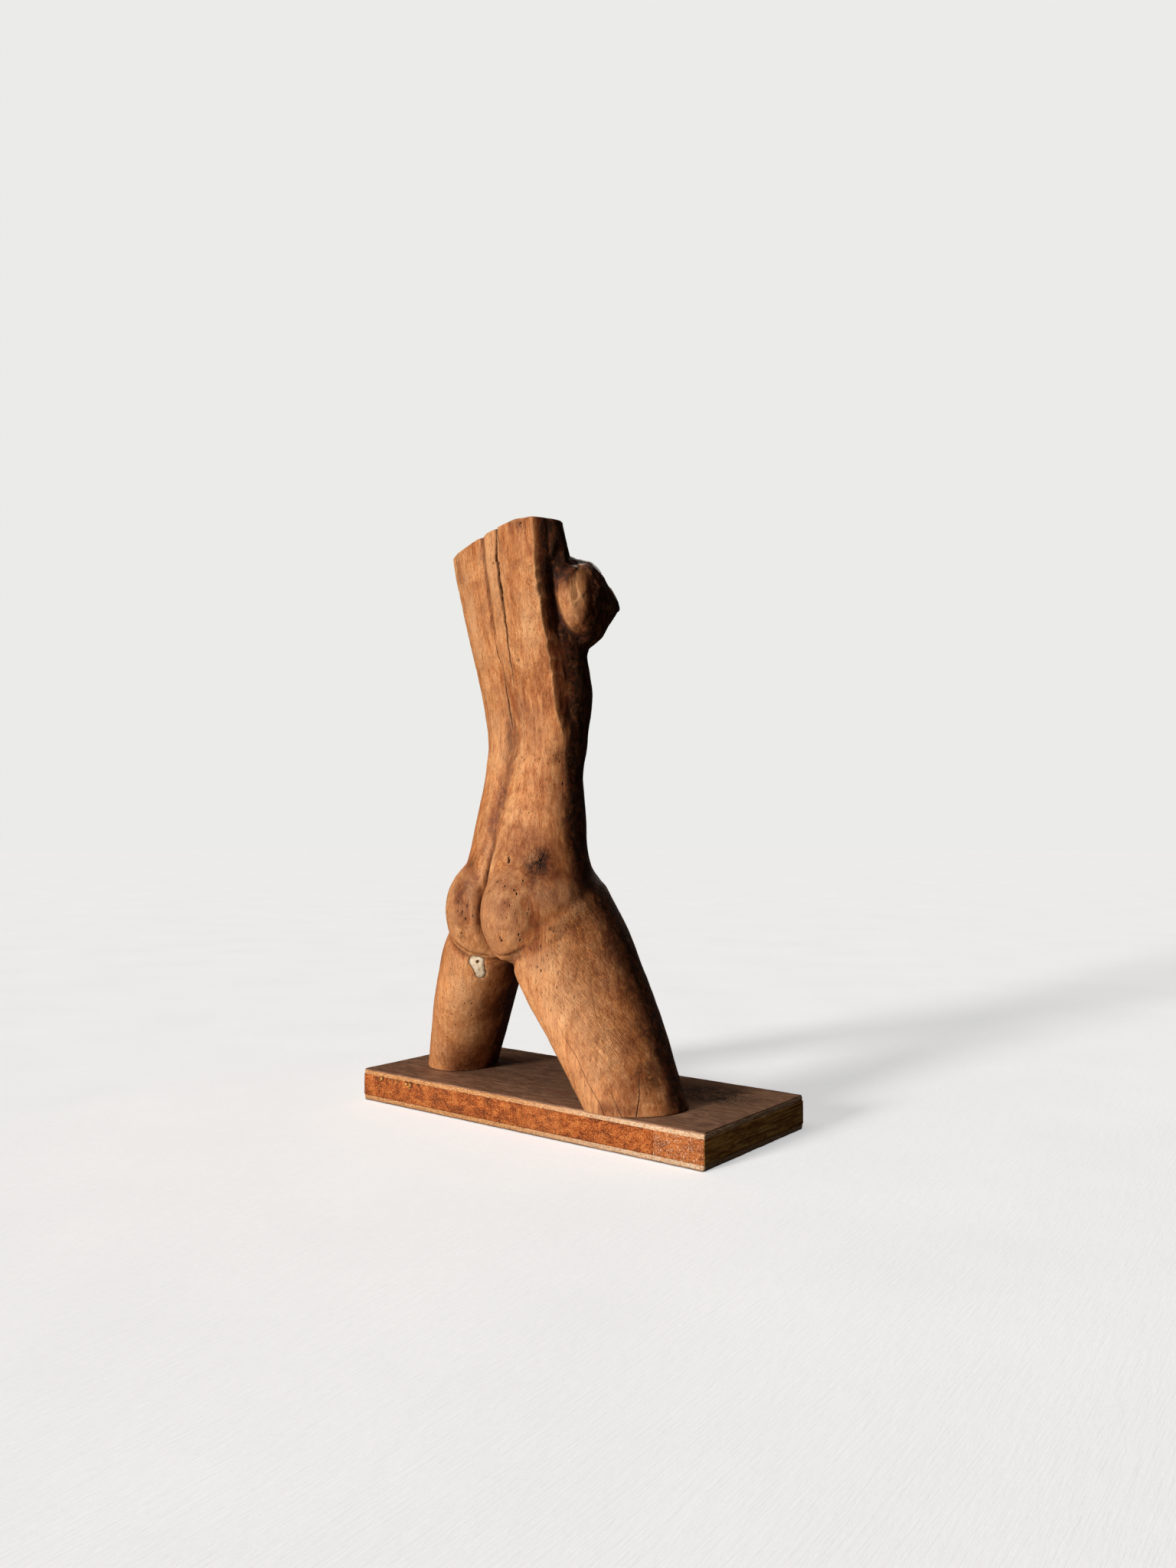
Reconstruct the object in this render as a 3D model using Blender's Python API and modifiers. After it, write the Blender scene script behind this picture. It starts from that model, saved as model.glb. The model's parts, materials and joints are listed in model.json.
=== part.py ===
"""A carved wooden torso of a woman, legs astride, standing on a strip of blockboard.

Metres, +Z up. The origin is the middle of the plinth's underside. +X runs along the plinth to the
figure's left, -Y is the side that the figure faces.
"""

import math

import bmesh
import bpy
import numpy as np
from mathutils import Matrix, Vector

# The figure's height is its main size: its pose, proportions and carving are shares of it.
FIGURE_HEIGHT = 0.321
PLINTH_LENGTH = 0.2507
PLINTH_WIDTH = 0.105
FACE_VENEER = 0.0006
CROSSBAND = 0.0021
CORE_THICKNESS = 0.0124
SEAM = 0.0003

# How the core of the board is made up: the relative widths of its strips, from -X to +X
STRIP_SHARES = (30.4, 30.6, 30.6, 27.4, 28.0, 26.5, 29.0, 26.2, 22.0)

# Where the figure stands on the board, and how far it is turned to its right
FIGURE_X = 0.009
FIGURE_Y = 0.029
FIGURE_TURN = math.radians(-10)

# One millimetre of the real figure, as a share of its height. Every size below is given in it, in
# the figure's own frame: across to its left, back, and up from the soles of the stumps.
TOP = 321
MM = FIGURE_HEIGHT / TOP

# The trunk's cross-sections: height, shift to the back, half width, half depth, squareness
TRUNK = (
    (71, 0, 7, 14, 2.0),
    (80, 0, 24, 25, 2.0),
    (92, 1, 38, 31, 2.0),
    (108, 1, 45, 33, 2.1),
    (126, 0.6, 42.5, 31.5, 2.1),
    (139, 0.3, 39.5, 28, 2.15),
    (153, -1.2, 38, 26, 2.2),
    (166, -2.3, 36.5, 24, 2.2),
    (183, -3.5, 34.5, 21.5, 2.3),
    (200, -6.5, 35.2, 21.5, 2.4),
    (227, -6, 38.6, 23, 2.5),
    (254, 0.9, 40.6, 22.6, 2.5),
    (282, 7.5, 43.5, 22, 2.5),
    (305, 13.5, 45, 20, 2.5),
    (325, 18, 44.5, 16, 2.5),
    (345, 22, 44, 14.5, 2.5),
)

# The thighs' cross-sections: height, distance from the middle, shift to the back, half width, half
# depth, and how far the section is turned outwards in degrees
LEFT_THIGH = (
    (-8, 88.5, -17, 20.5, 27, 35),
    (0, 84, -14.8, 21.3, 28.8, 35),
    (20, 70.5, -9, 22.5, 31.5, 35),
    (52, 49.5, 0, 24, 35, 35),
    (78, 37.5, 1.5, 25, 35, 32),
    (93, 31, 0, 24, 33, 26),
    (106, 27, -1.5, 22, 30, 20),
    (119, 23, -2, 19, 26, 16),
    (130, 18, -1.5, 14, 20, 10),
)
RIGHT_THIGH = (
    (-8, 81, -12, 21, 27.5, 35),
    (0, 76.9, -11.7, 21.5, 28.6, 35),
    (19, 65.2, -11.5, 23.5, 31.2, 35),
    (34, 56.2, -11, 24.5, 33.4, 35),
    (58, 41.8, -9, 25.5, 36.5, 35),
    (80, 32.5, -5.5, 26, 37, 32),
    (93, 30, -4.5, 24.5, 34.5, 26),
    (106, 27, -3.5, 22.5, 31, 20),
    (119, 23, -3, 20, 27, 16),
    (130, 18, -2, 15, 21, 10),
)

# Swellings that grow out of the trunk: middle (out from the middle, back, height), half sizes
# (across, deep, high), and in degrees the lean of the long axis to the back and the swing outwards
BUTTOCK = ((18, 12.5, 102), (23, 31, 32.5), -3, 6)
HIP = ((20, 4, 106.5), (28, 30, 30.5), 0, 0)
BREAST = ((31, -4, 277.5), (18, 25.5, 28.5), 0, 22)
BREAST_TIP = ((36, -16.5, 278), (12.5, 16, 14.5), 0, 22)
BELLY = ((0, -12, 136), (27, 17, 26), 0, 0)

# Strokes of the gouge: the side that it is cut on, its half width, and (across, height, depth)
# points along it. A negative depth stands out instead. Paired strokes are cut on both sides.
BACK, FRONT = 1, -1
STROKES = (
    (BACK, 3.6, ((0, 152, 0), (0, 136, 3), (0, 118, 6), (0, 88, 6), (0, 74, 4), (0, 64, 0))),
    (BACK, 13, ((0, 232, 0), (0, 205, 2.2), (0, 165, 2.4), (0, 138, 1))),
    (BACK, 4, ((1, 345, 1.4), (1, 290, 1.4), (1, 240, 1), (0, 222, 0))),
    (BACK, 4, ((-11, 345, 1), (-10, 280, 1), (-9, 245, 0))),
    (FRONT, 5, ((0, 262, 0), (0, 240, 1), (0, 200, 1.2), (0, 186, 0))),
    (FRONT, 4, ((0, 181, 2.2), (0, 176, 2.2))),
)
PAIRED_STROKES = (
    (BACK, 4, ((5, 72, 3), (16, 73, 3), (25, 79, 2.6), (34, 87, 1.8), (42, 94, 0.6), (47, 100, 0))),
    (FRONT, 4.5, ((40, 128, 0), (30, 112, 0.9), (16, 92, 1.3), (6, 80, 0.9))),
    (FRONT, 4.5, ((41.5, 278.5, -2), (41.5, 277.5, -2))),
)

# The drying crack beside the spine: from its foot up, (height, across, width at the surface)
CRACK = ((231, -8.3, 0.2), (247, -9.1, 0.9), (268, -10, 1.5), (301, -10.2, 1.5), (330, -12, 0.9))
CRACK_DEPTH = 7

# The sawn top: a point of each cut, and in degrees how it falls to the figure's left
TOP_CUT = ((0, 0, TOP), 0)
SHOULDER_CUT = ((-27, 0, TOP), 9.5)
CUTTER_SIZE = 260

# The filler in the back of the left thigh: where it sits, how far its axis turns from straight
# back towards the crotch and dips, in degrees, and in that axis's own frame its round head, its
# smaller tail and its little hole, each as (across, up, radius)
FILLER_AT = (15.5, 25.5, 69.8)
FILLER_TURN = 48
FILLER_DIP = 18
FILLER_HEAD = (0.3, 2.6, 4.4)
FILLER_TAIL = (-1.6, -4.6, 3)
FILLER_HOLE = (-0.2, 2.4, 1.1)
FILLER_DEPTH = 5
FILLER_HOLE_DEPTH = 3
OUTSIDE = 16

LOFT_SIDES = 48
LOFT_STEP = 4
VOXEL = 1.8
BLEND_COUNT = 12
TRIANGLE_COUNT = 8400
FILLER_SIDES = 12


def new_material(name, colour, roughness):
    material = bpy.data.materials.new(name)
    material.use_nodes = True
    shader = material.node_tree.nodes["Principled BSDF"]
    shader.inputs["Base Color"].default_value = (*colour, 1)
    shader.inputs["Roughness"].default_value = roughness
    shader.inputs["Metallic"].default_value = 0
    return material


def new_object(name, mesh, collection, material=None):
    piece = bpy.data.objects.new(name, mesh)
    collection.objects.link(piece)
    if material:
        mesh.materials.append(material)
    return piece


def mesh_from(form, name):
    mesh = bpy.data.meshes.new(name)
    form.to_mesh(mesh)
    form.free()
    return mesh


def evaluated_copy(piece):
    """The piece's mesh with its modifiers applied."""
    graph = bpy.context.evaluated_depsgraph_get()
    return bpy.data.meshes.new_from_object(piece.evaluated_get(graph))


def curve_through(keys, heights):
    """Every column of keys against the first one, as a smooth curve that does not overshoot."""
    keys = np.array(keys, float)
    at, values = keys[:, 0], keys[:, 1:]
    step = np.diff(at)[:, None]
    rise = np.diff(values, axis=0) / step
    slope = np.vstack([rise[:1], (rise[:-1] + rise[1:]) / 2, rise[-1:]])
    slope[1:-1][rise[:-1] * rise[1:] <= 0] = 0
    low = np.clip(np.searchsorted(at, heights) - 1, 0, len(at) - 2)
    t = ((heights - at[low]) / step[low, 0])[:, None]
    return (
        (1 + 2 * t) * (1 - t) ** 2 * values[low]
        + t * (1 - t) ** 2 * step[low] * slope[low]
        + t**2 * (3 - 2 * t) * values[low + 1]
        + t**2 * (t - 1) * step[low] * slope[low + 1]
    )


def outline(half_width, half_depth, squareness, turn):
    """A rounded outline about the origin: an ellipse, or squarer where squareness is over 2."""
    angle = np.linspace(0, 2 * math.pi, LOFT_SIDES, endpoint=False)
    across = np.sign(np.cos(angle)) * np.abs(np.cos(angle)) ** (2 / squareness)
    back = np.sign(np.sin(angle)) * np.abs(np.sin(angle)) ** (2 / squareness)
    x, y = half_width * across, half_depth * back
    c, s = math.cos(math.radians(turn)), math.sin(math.radians(turn))
    return np.stack([c * x - s * y, s * x + c * y], 1)


def add_loft(form, rings):
    """A closed skin through (outline, height) rings of equally many points."""
    loops = []
    for ring, height in rings:
        loops.append([form.verts.new(Vector((x, y, height)) * MM) for x, y in ring])
    for low, high in zip(loops, loops[1:]):
        for i in range(len(low)):
            j = (i + 1) % len(low)
            form.faces.new((low[i], low[j], high[j], high[i]))
    form.faces.new(loops[0][::-1])
    form.faces.new(loops[-1])


def section_heights(keys):
    count = round((keys[-1][0] - keys[0][0]) / LOFT_STEP) + 1
    return np.linspace(keys[0][0], keys[-1][0], count)


def add_trunk(form):
    heights = section_heights(TRUNK)
    rings = []
    for height, row in zip(heights, curve_through(TRUNK, heights)):
        back, half_width, half_depth, squareness = row
        rings.append((outline(half_width, half_depth, squareness, 0) + (0, back), height))
    add_loft(form, rings)


def add_thigh(form, keys, side):
    """side is +1 for the figure's left and -1 for its right."""
    heights = section_heights(keys)
    rings = []
    for height, row in zip(heights, curve_through(keys, heights)):
        out, back, half_width, half_depth, turn = row
        ring = outline(half_width, half_depth, 2, side * turn)
        rings.append((ring + (side * out, back), height))
    add_loft(form, rings)


def add_swelling(form, shape, side):
    """An egg on the trunk, on the figure's left (+1), on its right (-1) or in the middle (0)."""
    (out, back, height), half_sizes, lean, swing = shape
    place = (
        Matrix.Translation(Vector((side * out, back, height)) * MM)
        @ Matrix.Rotation(math.radians(side * swing), 4, "Z")
        @ Matrix.Rotation(math.radians(lean), 4, "X")
        @ Matrix.Diagonal((*(Vector(half_sizes) * MM), 1))
    )
    bmesh.ops.create_uvsphere(form, u_segments=32, v_segments=20, radius=1, matrix=place)


def rough_figure():
    """The masses of the figure as one set of closed skins, before they are blended."""
    form = bmesh.new()
    add_trunk(form)
    add_thigh(form, LEFT_THIGH, 1)
    add_thigh(form, RIGHT_THIGH, -1)
    for side in (1, -1):
        add_swelling(form, BUTTOCK, side)
        add_swelling(form, HIP, side)
        add_swelling(form, BREAST, side)
        add_swelling(form, BREAST_TIP, side)
    add_swelling(form, BELLY, 0)
    return mesh_from(form, "rough_figure")


def stroke_depth(points, path, half_width):
    """How deep a stroke through path cuts at each flat point."""
    path = np.array(path, float)
    nearest = np.full(len(points), np.inf)
    depth = np.zeros(len(points))
    for start, end in zip(path, path[1:]):
        along = end[:2] - start[:2]
        share = np.clip((points - start[:2]) @ along / (along @ along), 0, 1)
        away = np.linalg.norm(points - start[:2] - share[:, None] * along, axis=1)
        closer = away < nearest
        nearest[closer] = away[closer]
        depth[closer] = (start[2] + share * (end[2] - start[2]))[closer]
    return depth * np.clip(1 - (nearest / half_width) ** 2, 0, 1) ** 2


def all_strokes():
    strokes = list(STROKES)
    for side, half_width, path in PAIRED_STROKES:
        strokes.append((side, half_width, path))
        strokes.append((side, half_width, tuple((-x, z, depth) for x, z, depth in path)))
    return strokes


def carve(mesh):
    """Moves the figure's skin in or out along its strokes."""
    count = len(mesh.vertices)
    place = np.empty(count * 3)
    normal = np.empty(count * 3)
    mesh.vertices.foreach_get("co", place)
    mesh.vertices.foreach_get("normal", normal)
    place, normal = place.reshape(-1, 3) / MM, normal.reshape(-1, 3)
    moved = np.zeros(count)
    for side, half_width, path in all_strokes():
        facing = np.clip(side * normal[:, 1] * 2, 0, 1)
        moved += stroke_depth(place[:, (0, 2)], path, half_width) * facing
    place -= normal * moved[:, None]
    mesh.vertices.foreach_set("co", (place * MM).ravel())
    mesh.update()


def new_cutter(name, form, cutters):
    cutter = new_object(name, mesh_from(form, name), cutters)
    cutter.hide_render = True
    cutter.display_type = "WIRE"
    return cutter


def add_cutting_block(name, cutters, through, fall_left):
    """A block whose underside is a sawn plane."""
    form = bmesh.new()
    size = CUTTER_SIZE * MM
    bmesh.ops.create_cube(form, size=size)
    bmesh.ops.translate(form, verts=form.verts, vec=(0, 0, size / 2))
    cutter = new_cutter(name, form, cutters)
    cutter.location = Vector(through) * MM
    cutter.rotation_euler.y = math.radians(fall_left)
    return cutter


def back_of_trunk(across, height):
    """How far back the trunk's skin lies."""
    back, half_width, half_depth, squareness = curve_through(TRUNK, np.array([height]))[0]
    return back + half_depth * (1 - abs(across / half_width) ** squareness) ** (1 / squareness)


def add_crack_cutter(cutters):
    """A wedge that narrows to an edge inside the wood and follows the skin of the back."""
    form = bmesh.new()
    heights = section_heights(CRACK)
    rings = []
    for height, (across, width) in zip(heights, curve_through(CRACK, heights)):
        skin = back_of_trunk(across, height)
        inside, outside = skin - CRACK_DEPTH, skin + CRACK_DEPTH
        ring = ((across, inside), (across + width, outside), (across - width, outside))
        rings.append((ring, height))
    add_loft(form, rings)
    return new_cutter("crack_cut", form, cutters)


def bean_outline(head, tail, grow):
    """The outline, seen from behind, round a large circle and a small one that meet."""
    (x1, z1, r1), (x2, z2, r2) = head, tail
    r1, r2 = r1 + grow, r2 + grow
    gap = math.hypot(x2 - x1, z2 - z1)
    down = math.atan2(z2 - z1, x2 - x1)
    open_half = math.acos((r1 - r2) / gap)
    points = []
    for step in range(FILLER_SIDES + 1):
        angle = down + open_half + (2 * math.pi - 2 * open_half) * step / FILLER_SIDES
        points.append((x1 + r1 * math.cos(angle), z1 + r1 * math.sin(angle)))
    for step in range(FILLER_SIDES + 1):
        angle = down - open_half + 2 * open_half * step / FILLER_SIDES
        points.append((x2 + r2 * math.cos(angle), z2 + r2 * math.sin(angle)))
    return points


def add_filler_prism(form, points, depth):
    """A prism along the filler's axis, with its outline given as (across, up) points."""
    place = (
        Matrix.Translation(FILLER_AT)
        @ Matrix.Rotation(math.radians(FILLER_TURN), 4, "Z")
        @ Matrix.Rotation(math.radians(-FILLER_DIP), 4, "X")
    )
    ends = []
    for along in (-depth, OUTSIDE):
        ends.append([form.verts.new(place @ Vector((x, along, z)) * MM) for x, z in points])
    for i in range(len(points)):
        j = (i + 1) % len(points)
        form.faces.new((ends[0][i], ends[0][j], ends[1][j], ends[1][i]))
    form.faces.new(ends[0][::-1])
    form.faces.new(ends[1])
    bmesh.ops.recalc_face_normals(form, faces=form.faces)


def build_filler(collection, cutters, skin, filling):
    """The filler: a bean-shaped plug whose outer face is the skin of the thigh."""
    form = bmesh.new()
    add_filler_prism(form, bean_outline(FILLER_HEAD, FILLER_TAIL, 0), FILLER_DEPTH)
    filler = new_object("thigh_filler", mesh_from(form, "thigh_filler"), collection, filling)
    whole = new_object("thigh_skin", skin.copy(), cutters)
    whole.hide_render = True
    whole.display_type = "WIRE"
    cut(filler, whole, "INTERSECT")
    x, z, radius = FILLER_HOLE
    turns = [2 * math.pi * step / FILLER_SIDES for step in range(FILLER_SIDES)]
    rim = [(x + radius * math.cos(turn), z + radius * math.sin(turn)) for turn in turns]
    form = bmesh.new()
    add_filler_prism(form, rim, FILLER_HOLE_DEPTH)
    cut(filler, new_cutter("filler_hole", form, cutters))
    return filler


def add_filler_pocket(cutters):
    form = bmesh.new()
    room = SEAM / MM
    add_filler_prism(form, bean_outline(FILLER_HEAD, FILLER_TAIL, room), FILLER_DEPTH + room)
    return new_cutter("filler_pocket", form, cutters)


def cut(piece, cutter, operation="DIFFERENCE"):
    modifier = piece.modifiers.new(cutter.name, "BOOLEAN")
    modifier.object = cutter
    modifier.operation = operation
    modifier.solver = "EXACT"


def blended_figure():
    """The masses as one skin of even faces, with the strokes carved in."""
    figure = bpy.data.objects.new("blend", rough_figure())
    bpy.context.scene.collection.objects.link(figure)
    remesh = figure.modifiers.new("one skin", "REMESH")
    remesh.mode = "VOXEL"
    remesh.voxel_size = VOXEL * MM
    blend = figure.modifiers.new("blend", "SMOOTH")
    blend.factor = 0.5
    blend.iterations = BLEND_COUNT
    figure.data = evaluated_copy(figure)
    figure.modifiers.clear()
    carve(figure.data)
    thin = figure.modifiers.new("fewer faces", "DECIMATE")
    thin.ratio = TRIANGLE_COUNT / (2 * len(figure.data.polygons))
    mesh = evaluated_copy(figure)
    bpy.data.objects.remove(figure)
    return mesh


def build_figure(collection, cutters, skin, wood):
    figure = new_object("torso", skin, collection, wood)
    cut(figure, add_cutting_block("top_cut", cutters, *TOP_CUT))
    cut(figure, add_cutting_block("shoulder_cut", cutters, *SHOULDER_CUT))
    sole = add_cutting_block("sole_cut", cutters, (0, 0, 0), 180)
    cut(figure, sole)
    cut(figure, add_crack_cutter(cutters))
    cut(figure, add_filler_pocket(cutters))
    return figure


def add_board_layer(name, collection, material, size, middle):
    form = bmesh.new()
    bmesh.ops.create_cube(form, size=1, matrix=Matrix.Diagonal((*size, 1)))
    layer = new_object(name, mesh_from(form, name), collection, material)
    layer.location = middle
    return layer


def build_plinth(collection, face_wood, cross_wood, core_wood):
    """Blockboard: a core of strips between crossbands, with a face veneer outside each."""
    sheet = (PLINTH_LENGTH, PLINTH_WIDTH)
    bottom = 0
    for name, thickness, wood in (
        ("plinth_under_veneer", FACE_VENEER, face_wood),
        ("plinth_lower_crossband", CROSSBAND, cross_wood),
        ("plinth_core", CORE_THICKNESS, core_wood),
        ("plinth_upper_crossband", CROSSBAND, cross_wood),
        ("plinth_face_veneer", FACE_VENEER, face_wood),
    ):
        middle = bottom + thickness / 2
        if name == "plinth_core":
            start = -PLINTH_LENGTH / 2
            for number, share in enumerate(STRIP_SHARES, 1):
                width = PLINTH_LENGTH * share / sum(STRIP_SHARES)
                add_board_layer(
                    f"plinth_core_strip_{number}",
                    collection,
                    wood,
                    (width - SEAM, PLINTH_WIDTH, thickness),
                    (start + width / 2, 0, middle),
                )
                start += width
        else:
            add_board_layer(name, collection, wood, (*sheet, thickness), (0, 0, middle))
        bottom += thickness + SEAM
    return bottom


def main():
    for old in list(bpy.data.objects):
        bpy.data.objects.remove(old)
    collection = bpy.data.collections.new("wooden_nude_sculpture")
    cutters = bpy.data.collections.new("cutters")
    bpy.context.scene.collection.children.link(collection)
    bpy.context.scene.collection.children.link(cutters)

    carved_wood = new_material("carved_wood", (0.42, 0.2, 0.085), 0.55)
    face_wood = new_material("dark_face_veneer", (0.12, 0.065, 0.04), 0.6)
    cross_wood = new_material("pale_crossband", (0.55, 0.3, 0.14), 0.7)
    core_wood = new_material("core_strips", (0.42, 0.18, 0.06), 0.75)
    filling = new_material("cream_filler", (0.72, 0.63, 0.5), 0.7)

    skin = blended_figure()
    figure = build_figure(collection, cutters, skin, carved_wood)
    filler = build_filler(collection, cutters, skin, filling)
    figure_foot = build_plinth(collection, face_wood, cross_wood, core_wood)
    placed = Matrix.Translation((FIGURE_X, FIGURE_Y, figure_foot))
    placed = placed @ Matrix.Rotation(FIGURE_TURN, 4, "Z")
    for piece in (figure, filler, *cutters.objects):
        piece.matrix_world = placed @ piece.matrix_basis


main()
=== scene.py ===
"""The looks of a carved wooden torso on a strip of blockboard. Metres, +Z up."""

import itertools
import json
import math

import bmesh
import bpy
import numpy as np
from mathutils import Matrix, Vector
from mathutils.bvhtree import BVHTree
from mathutils.kdtree import KDTree

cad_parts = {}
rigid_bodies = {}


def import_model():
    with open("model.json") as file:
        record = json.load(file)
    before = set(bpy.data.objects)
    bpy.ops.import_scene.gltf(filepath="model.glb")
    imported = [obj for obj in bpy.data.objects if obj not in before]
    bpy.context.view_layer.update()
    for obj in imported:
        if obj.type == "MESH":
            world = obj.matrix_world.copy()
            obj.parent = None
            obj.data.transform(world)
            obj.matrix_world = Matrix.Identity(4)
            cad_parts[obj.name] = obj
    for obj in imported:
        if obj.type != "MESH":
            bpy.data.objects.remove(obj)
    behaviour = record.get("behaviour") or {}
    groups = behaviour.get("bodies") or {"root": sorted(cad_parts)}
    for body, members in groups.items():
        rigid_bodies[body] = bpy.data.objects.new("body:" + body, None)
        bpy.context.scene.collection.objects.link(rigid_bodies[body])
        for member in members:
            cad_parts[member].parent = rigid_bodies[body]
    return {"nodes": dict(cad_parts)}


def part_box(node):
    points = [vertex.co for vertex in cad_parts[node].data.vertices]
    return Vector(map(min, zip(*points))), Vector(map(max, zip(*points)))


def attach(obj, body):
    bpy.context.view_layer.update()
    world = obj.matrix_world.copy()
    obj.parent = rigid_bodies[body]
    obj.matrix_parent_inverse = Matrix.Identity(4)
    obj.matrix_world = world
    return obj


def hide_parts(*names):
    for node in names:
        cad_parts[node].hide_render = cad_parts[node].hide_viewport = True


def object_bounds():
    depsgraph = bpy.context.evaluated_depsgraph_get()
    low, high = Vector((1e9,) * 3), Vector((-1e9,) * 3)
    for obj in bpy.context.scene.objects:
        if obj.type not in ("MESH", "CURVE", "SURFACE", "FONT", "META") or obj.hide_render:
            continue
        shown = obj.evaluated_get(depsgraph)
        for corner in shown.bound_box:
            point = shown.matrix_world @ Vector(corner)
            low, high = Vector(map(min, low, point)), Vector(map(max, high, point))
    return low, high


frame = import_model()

CAD_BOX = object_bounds()
NODES = frame["nodes"]

# The figure's own frame, in millimetres: across to its left, back, and up from its soles
SOLE_HEIGHT = 0.0193
FIGURE_X = 0.009
FIGURE_Y = 0.029
FIGURE_TURN = math.radians(-10)
TO_ROW = (
    Matrix.Translation((FIGURE_X, FIGURE_Y, SOLE_HEIGHT))
    @ Matrix.Rotation(FIGURE_TURN, 4, "Z")
    @ Matrix.Scale(0.001, 4)
)
TO_FIGURE = TO_ROW.inverted()
BOARD = (
    np.array(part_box("plinth_under_veneer")[0]) * 1000,
    np.array(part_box("plinth_face_veneer")[1]) * 1000,
)
TOP = 321.0
SHOULDER = -27.0
SHOULDER_FALL = math.radians(9.5)

# The torso's skin: the size of its faces, its smoothing, and how far it runs past the saw cuts
VOXEL = 1.4
SMOOTHING = 8
CAP_MARGIN = 4.0
TRUNK_LEAN = Vector((0, 0.22, 1))
LEFT_THIGH_LEAN = Vector((0.55, -0.15, -1))
RIGHT_THIGH_LEAN = Vector((-0.52, -0.15, -1))

# The wedge that stands for the drying crack in the CAD torso: its foot, front and half width
WEDGE_FOOT = (229, 235)
WEDGE_FRONT = 6
WEDGE_HALF_WIDTH = 1.6

# Cracks and creases: rows of across, back, up, half width and depth, under 0 where they rise
DRYING_CRACK = (
    (-11.6, 34.5, 322, 0.5, 2.4),
    (-11, 34, 313, 0.55, 3),
    (-10.2, 32, 301, 0.75, 3.8),
    (-10, 29, 285, 0.9, 4.4),
    (-10.1, 26.2, 268, 0.7, 3.8),
    (-9.7, 24.2, 257, 0.45, 2.6),
    (-9.0, 21.8, 247, 0.35, 1.8),
    (-8.2, 18.3, 232, 0.2, 0.6),
)
FINE_CRACKS = (
    ((3, 24, 262, 0.2, 0.2), (2.2, 22, 249, 0.25, 0.5), (-0.6, 19.5, 240, 0.3, 0.9),
     (0, 16.6, 228, 0.4, 1.4), (-0.5, 13.5, 216, 0.65, 2.2), (-1.6, 12.5, 206, 0.2, 0.5)),
    ((-11.5, 33, 320, 0.25, 0.9), (-14.2, 33.5, 308, 0.25, 0.9), (-12.4, 31.6, 296, 0.15, 0.3)),
    ((-48, 21, 48, 0.1, 0.1), (-53, 19.4, 39, 0.14, 0.3), (-61, 17.6, 29, 0.16, 0.35),
     (-68.4, 15.9, 15.8, 0.17, 0.4), (-76.2, 13.7, 5.3, 0.2, 0.45), (-79, 12.5, -1, 0.2, 0.5)),
    ((-79.7, 10.5, 13.5, 0.1, 0.2), (-84, 9.4, 6, 0.16, 0.4), (-87.5, 8, -1, 0.2, 0.5)),
    ((-90, -2.5, 19, 0.1, 0.2), (-90.7, -1.2, 11.4, 0.2, 0.5), (-92.3, 3.2, -1, 0.25, 0.6)),
    ((-60.6, 6, 64, 0.1, 0.1), (-63.4, 6.4, 54.5, 0.15, 0.3), (-66, 5.5, 44, 0.1, 0.1)),
    ((33, 29, 316, 0.4, 1), (31.5, 29.5, 305, 0.5, 1.3), (29.6, 29.5, 294, 0.25, 0.5)),
    ((16, 22.3, 256, 0.15, 0.2), (18, 20.6, 249, 0.2, 0.4), (20.3, 18.5, 240, 0.15, 0.2)),
)
CREASES = (
    ((-43, 12, 306, 2.4, 0.8), (-42, 15.5, 295, 3.2, 2.2), (-41.5, 15.5, 285, 3.4, 2.6),
     (-41, 12.5, 275, 3.4, 2.6), (-41, 8, 266, 3.2, 2.4), (-41.5, -4, 258, 2.6, 1.8)),
    ((44.6, 10, 306, 2.2, 0.4), (44, 13, 295, 2.8, 1.2), (43.4, 13, 285, 3, 1.6),
     (42.8, 10.5, 275, 3, 1.6), (42.3, 6, 266, 2.8, 1.2), (42, -6, 259, 2.4, 0.6)),
    ((-9, 37, 78, 1, 0.4), (-16, 34, 79, 1.1, 0.7), (-22, 32, 79.5, 1.1, 0.7),
     (-27, 30, 82.5, 1, 0.4), (-31, 28, 86, 0.8, 0.2)),
    ((-26, 31, 83, 2.6, -0.3), (-31, 28.5, 86, 3, -0.9), (-38, 22.6, 91, 3.4, -1.5),
     (-44, 16, 97, 3.4, -1.4), (-50, 1, 107, 3, -0.7)),
    ((8.5, 34, 118, 2.5, -0.4), (8.5, 34, 109, 3.5, -1.7), (8, 33, 100, 3.5, -1.7), (7, 31, 91, 2.5, -0.4)),
    ((22, 38, 86, 1.4, 0.3), (17.9, 36.7, 81.5, 1.5, 1), (12, 32, 77, 1.5, 1.2), (6, 26, 74, 1.5, 0.8)),
    ((1.6, 34, 318, 1.2, 0.5), (1.4, 30, 290, 1.1, 0.5), (1.8, 25, 264, 1, 0.4), (1, 20, 243, 0.8, 0.1)),
)
# Which of the creases are darkened, partly by dirt and partly as painted shade, and how much. The last is
# the cleft
DARK_CREASES = ((2, 0.35), (5, 0.2), (6, 0.1), (-1, 0.85))
PATH_STEP = 2.0

# Fuller places: across, back, up, reach sideways, reach upwards, rise
SWELLS = ((-47, 4, 281, 8, 17, 1.5), (47, 4, 281, 8, 17, 0.7), (-47.5, -4, 270, 8, 10, 0.9))

# The cleft between the buttocks: up, half width and depth, where its middle lies by height, and
# the lip of the right buttock beside it
CLEFT = ((84, 0.9, 0.4), (92, 1.1, 0.7), (106, 1.1, 0.9), (117, 1.1, 1.7), (130, 1, 0.9), (137, 0.8, 0.1))
CLEFT_MIDDLE = ((84, 3.3), (93.6, 3.5), (103, 4.1), (114.7, 5.3), (124.5, 6), (137, 3.6))
LIP_AWAY = 3.4
LIP_RISE = 0.5

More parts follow.
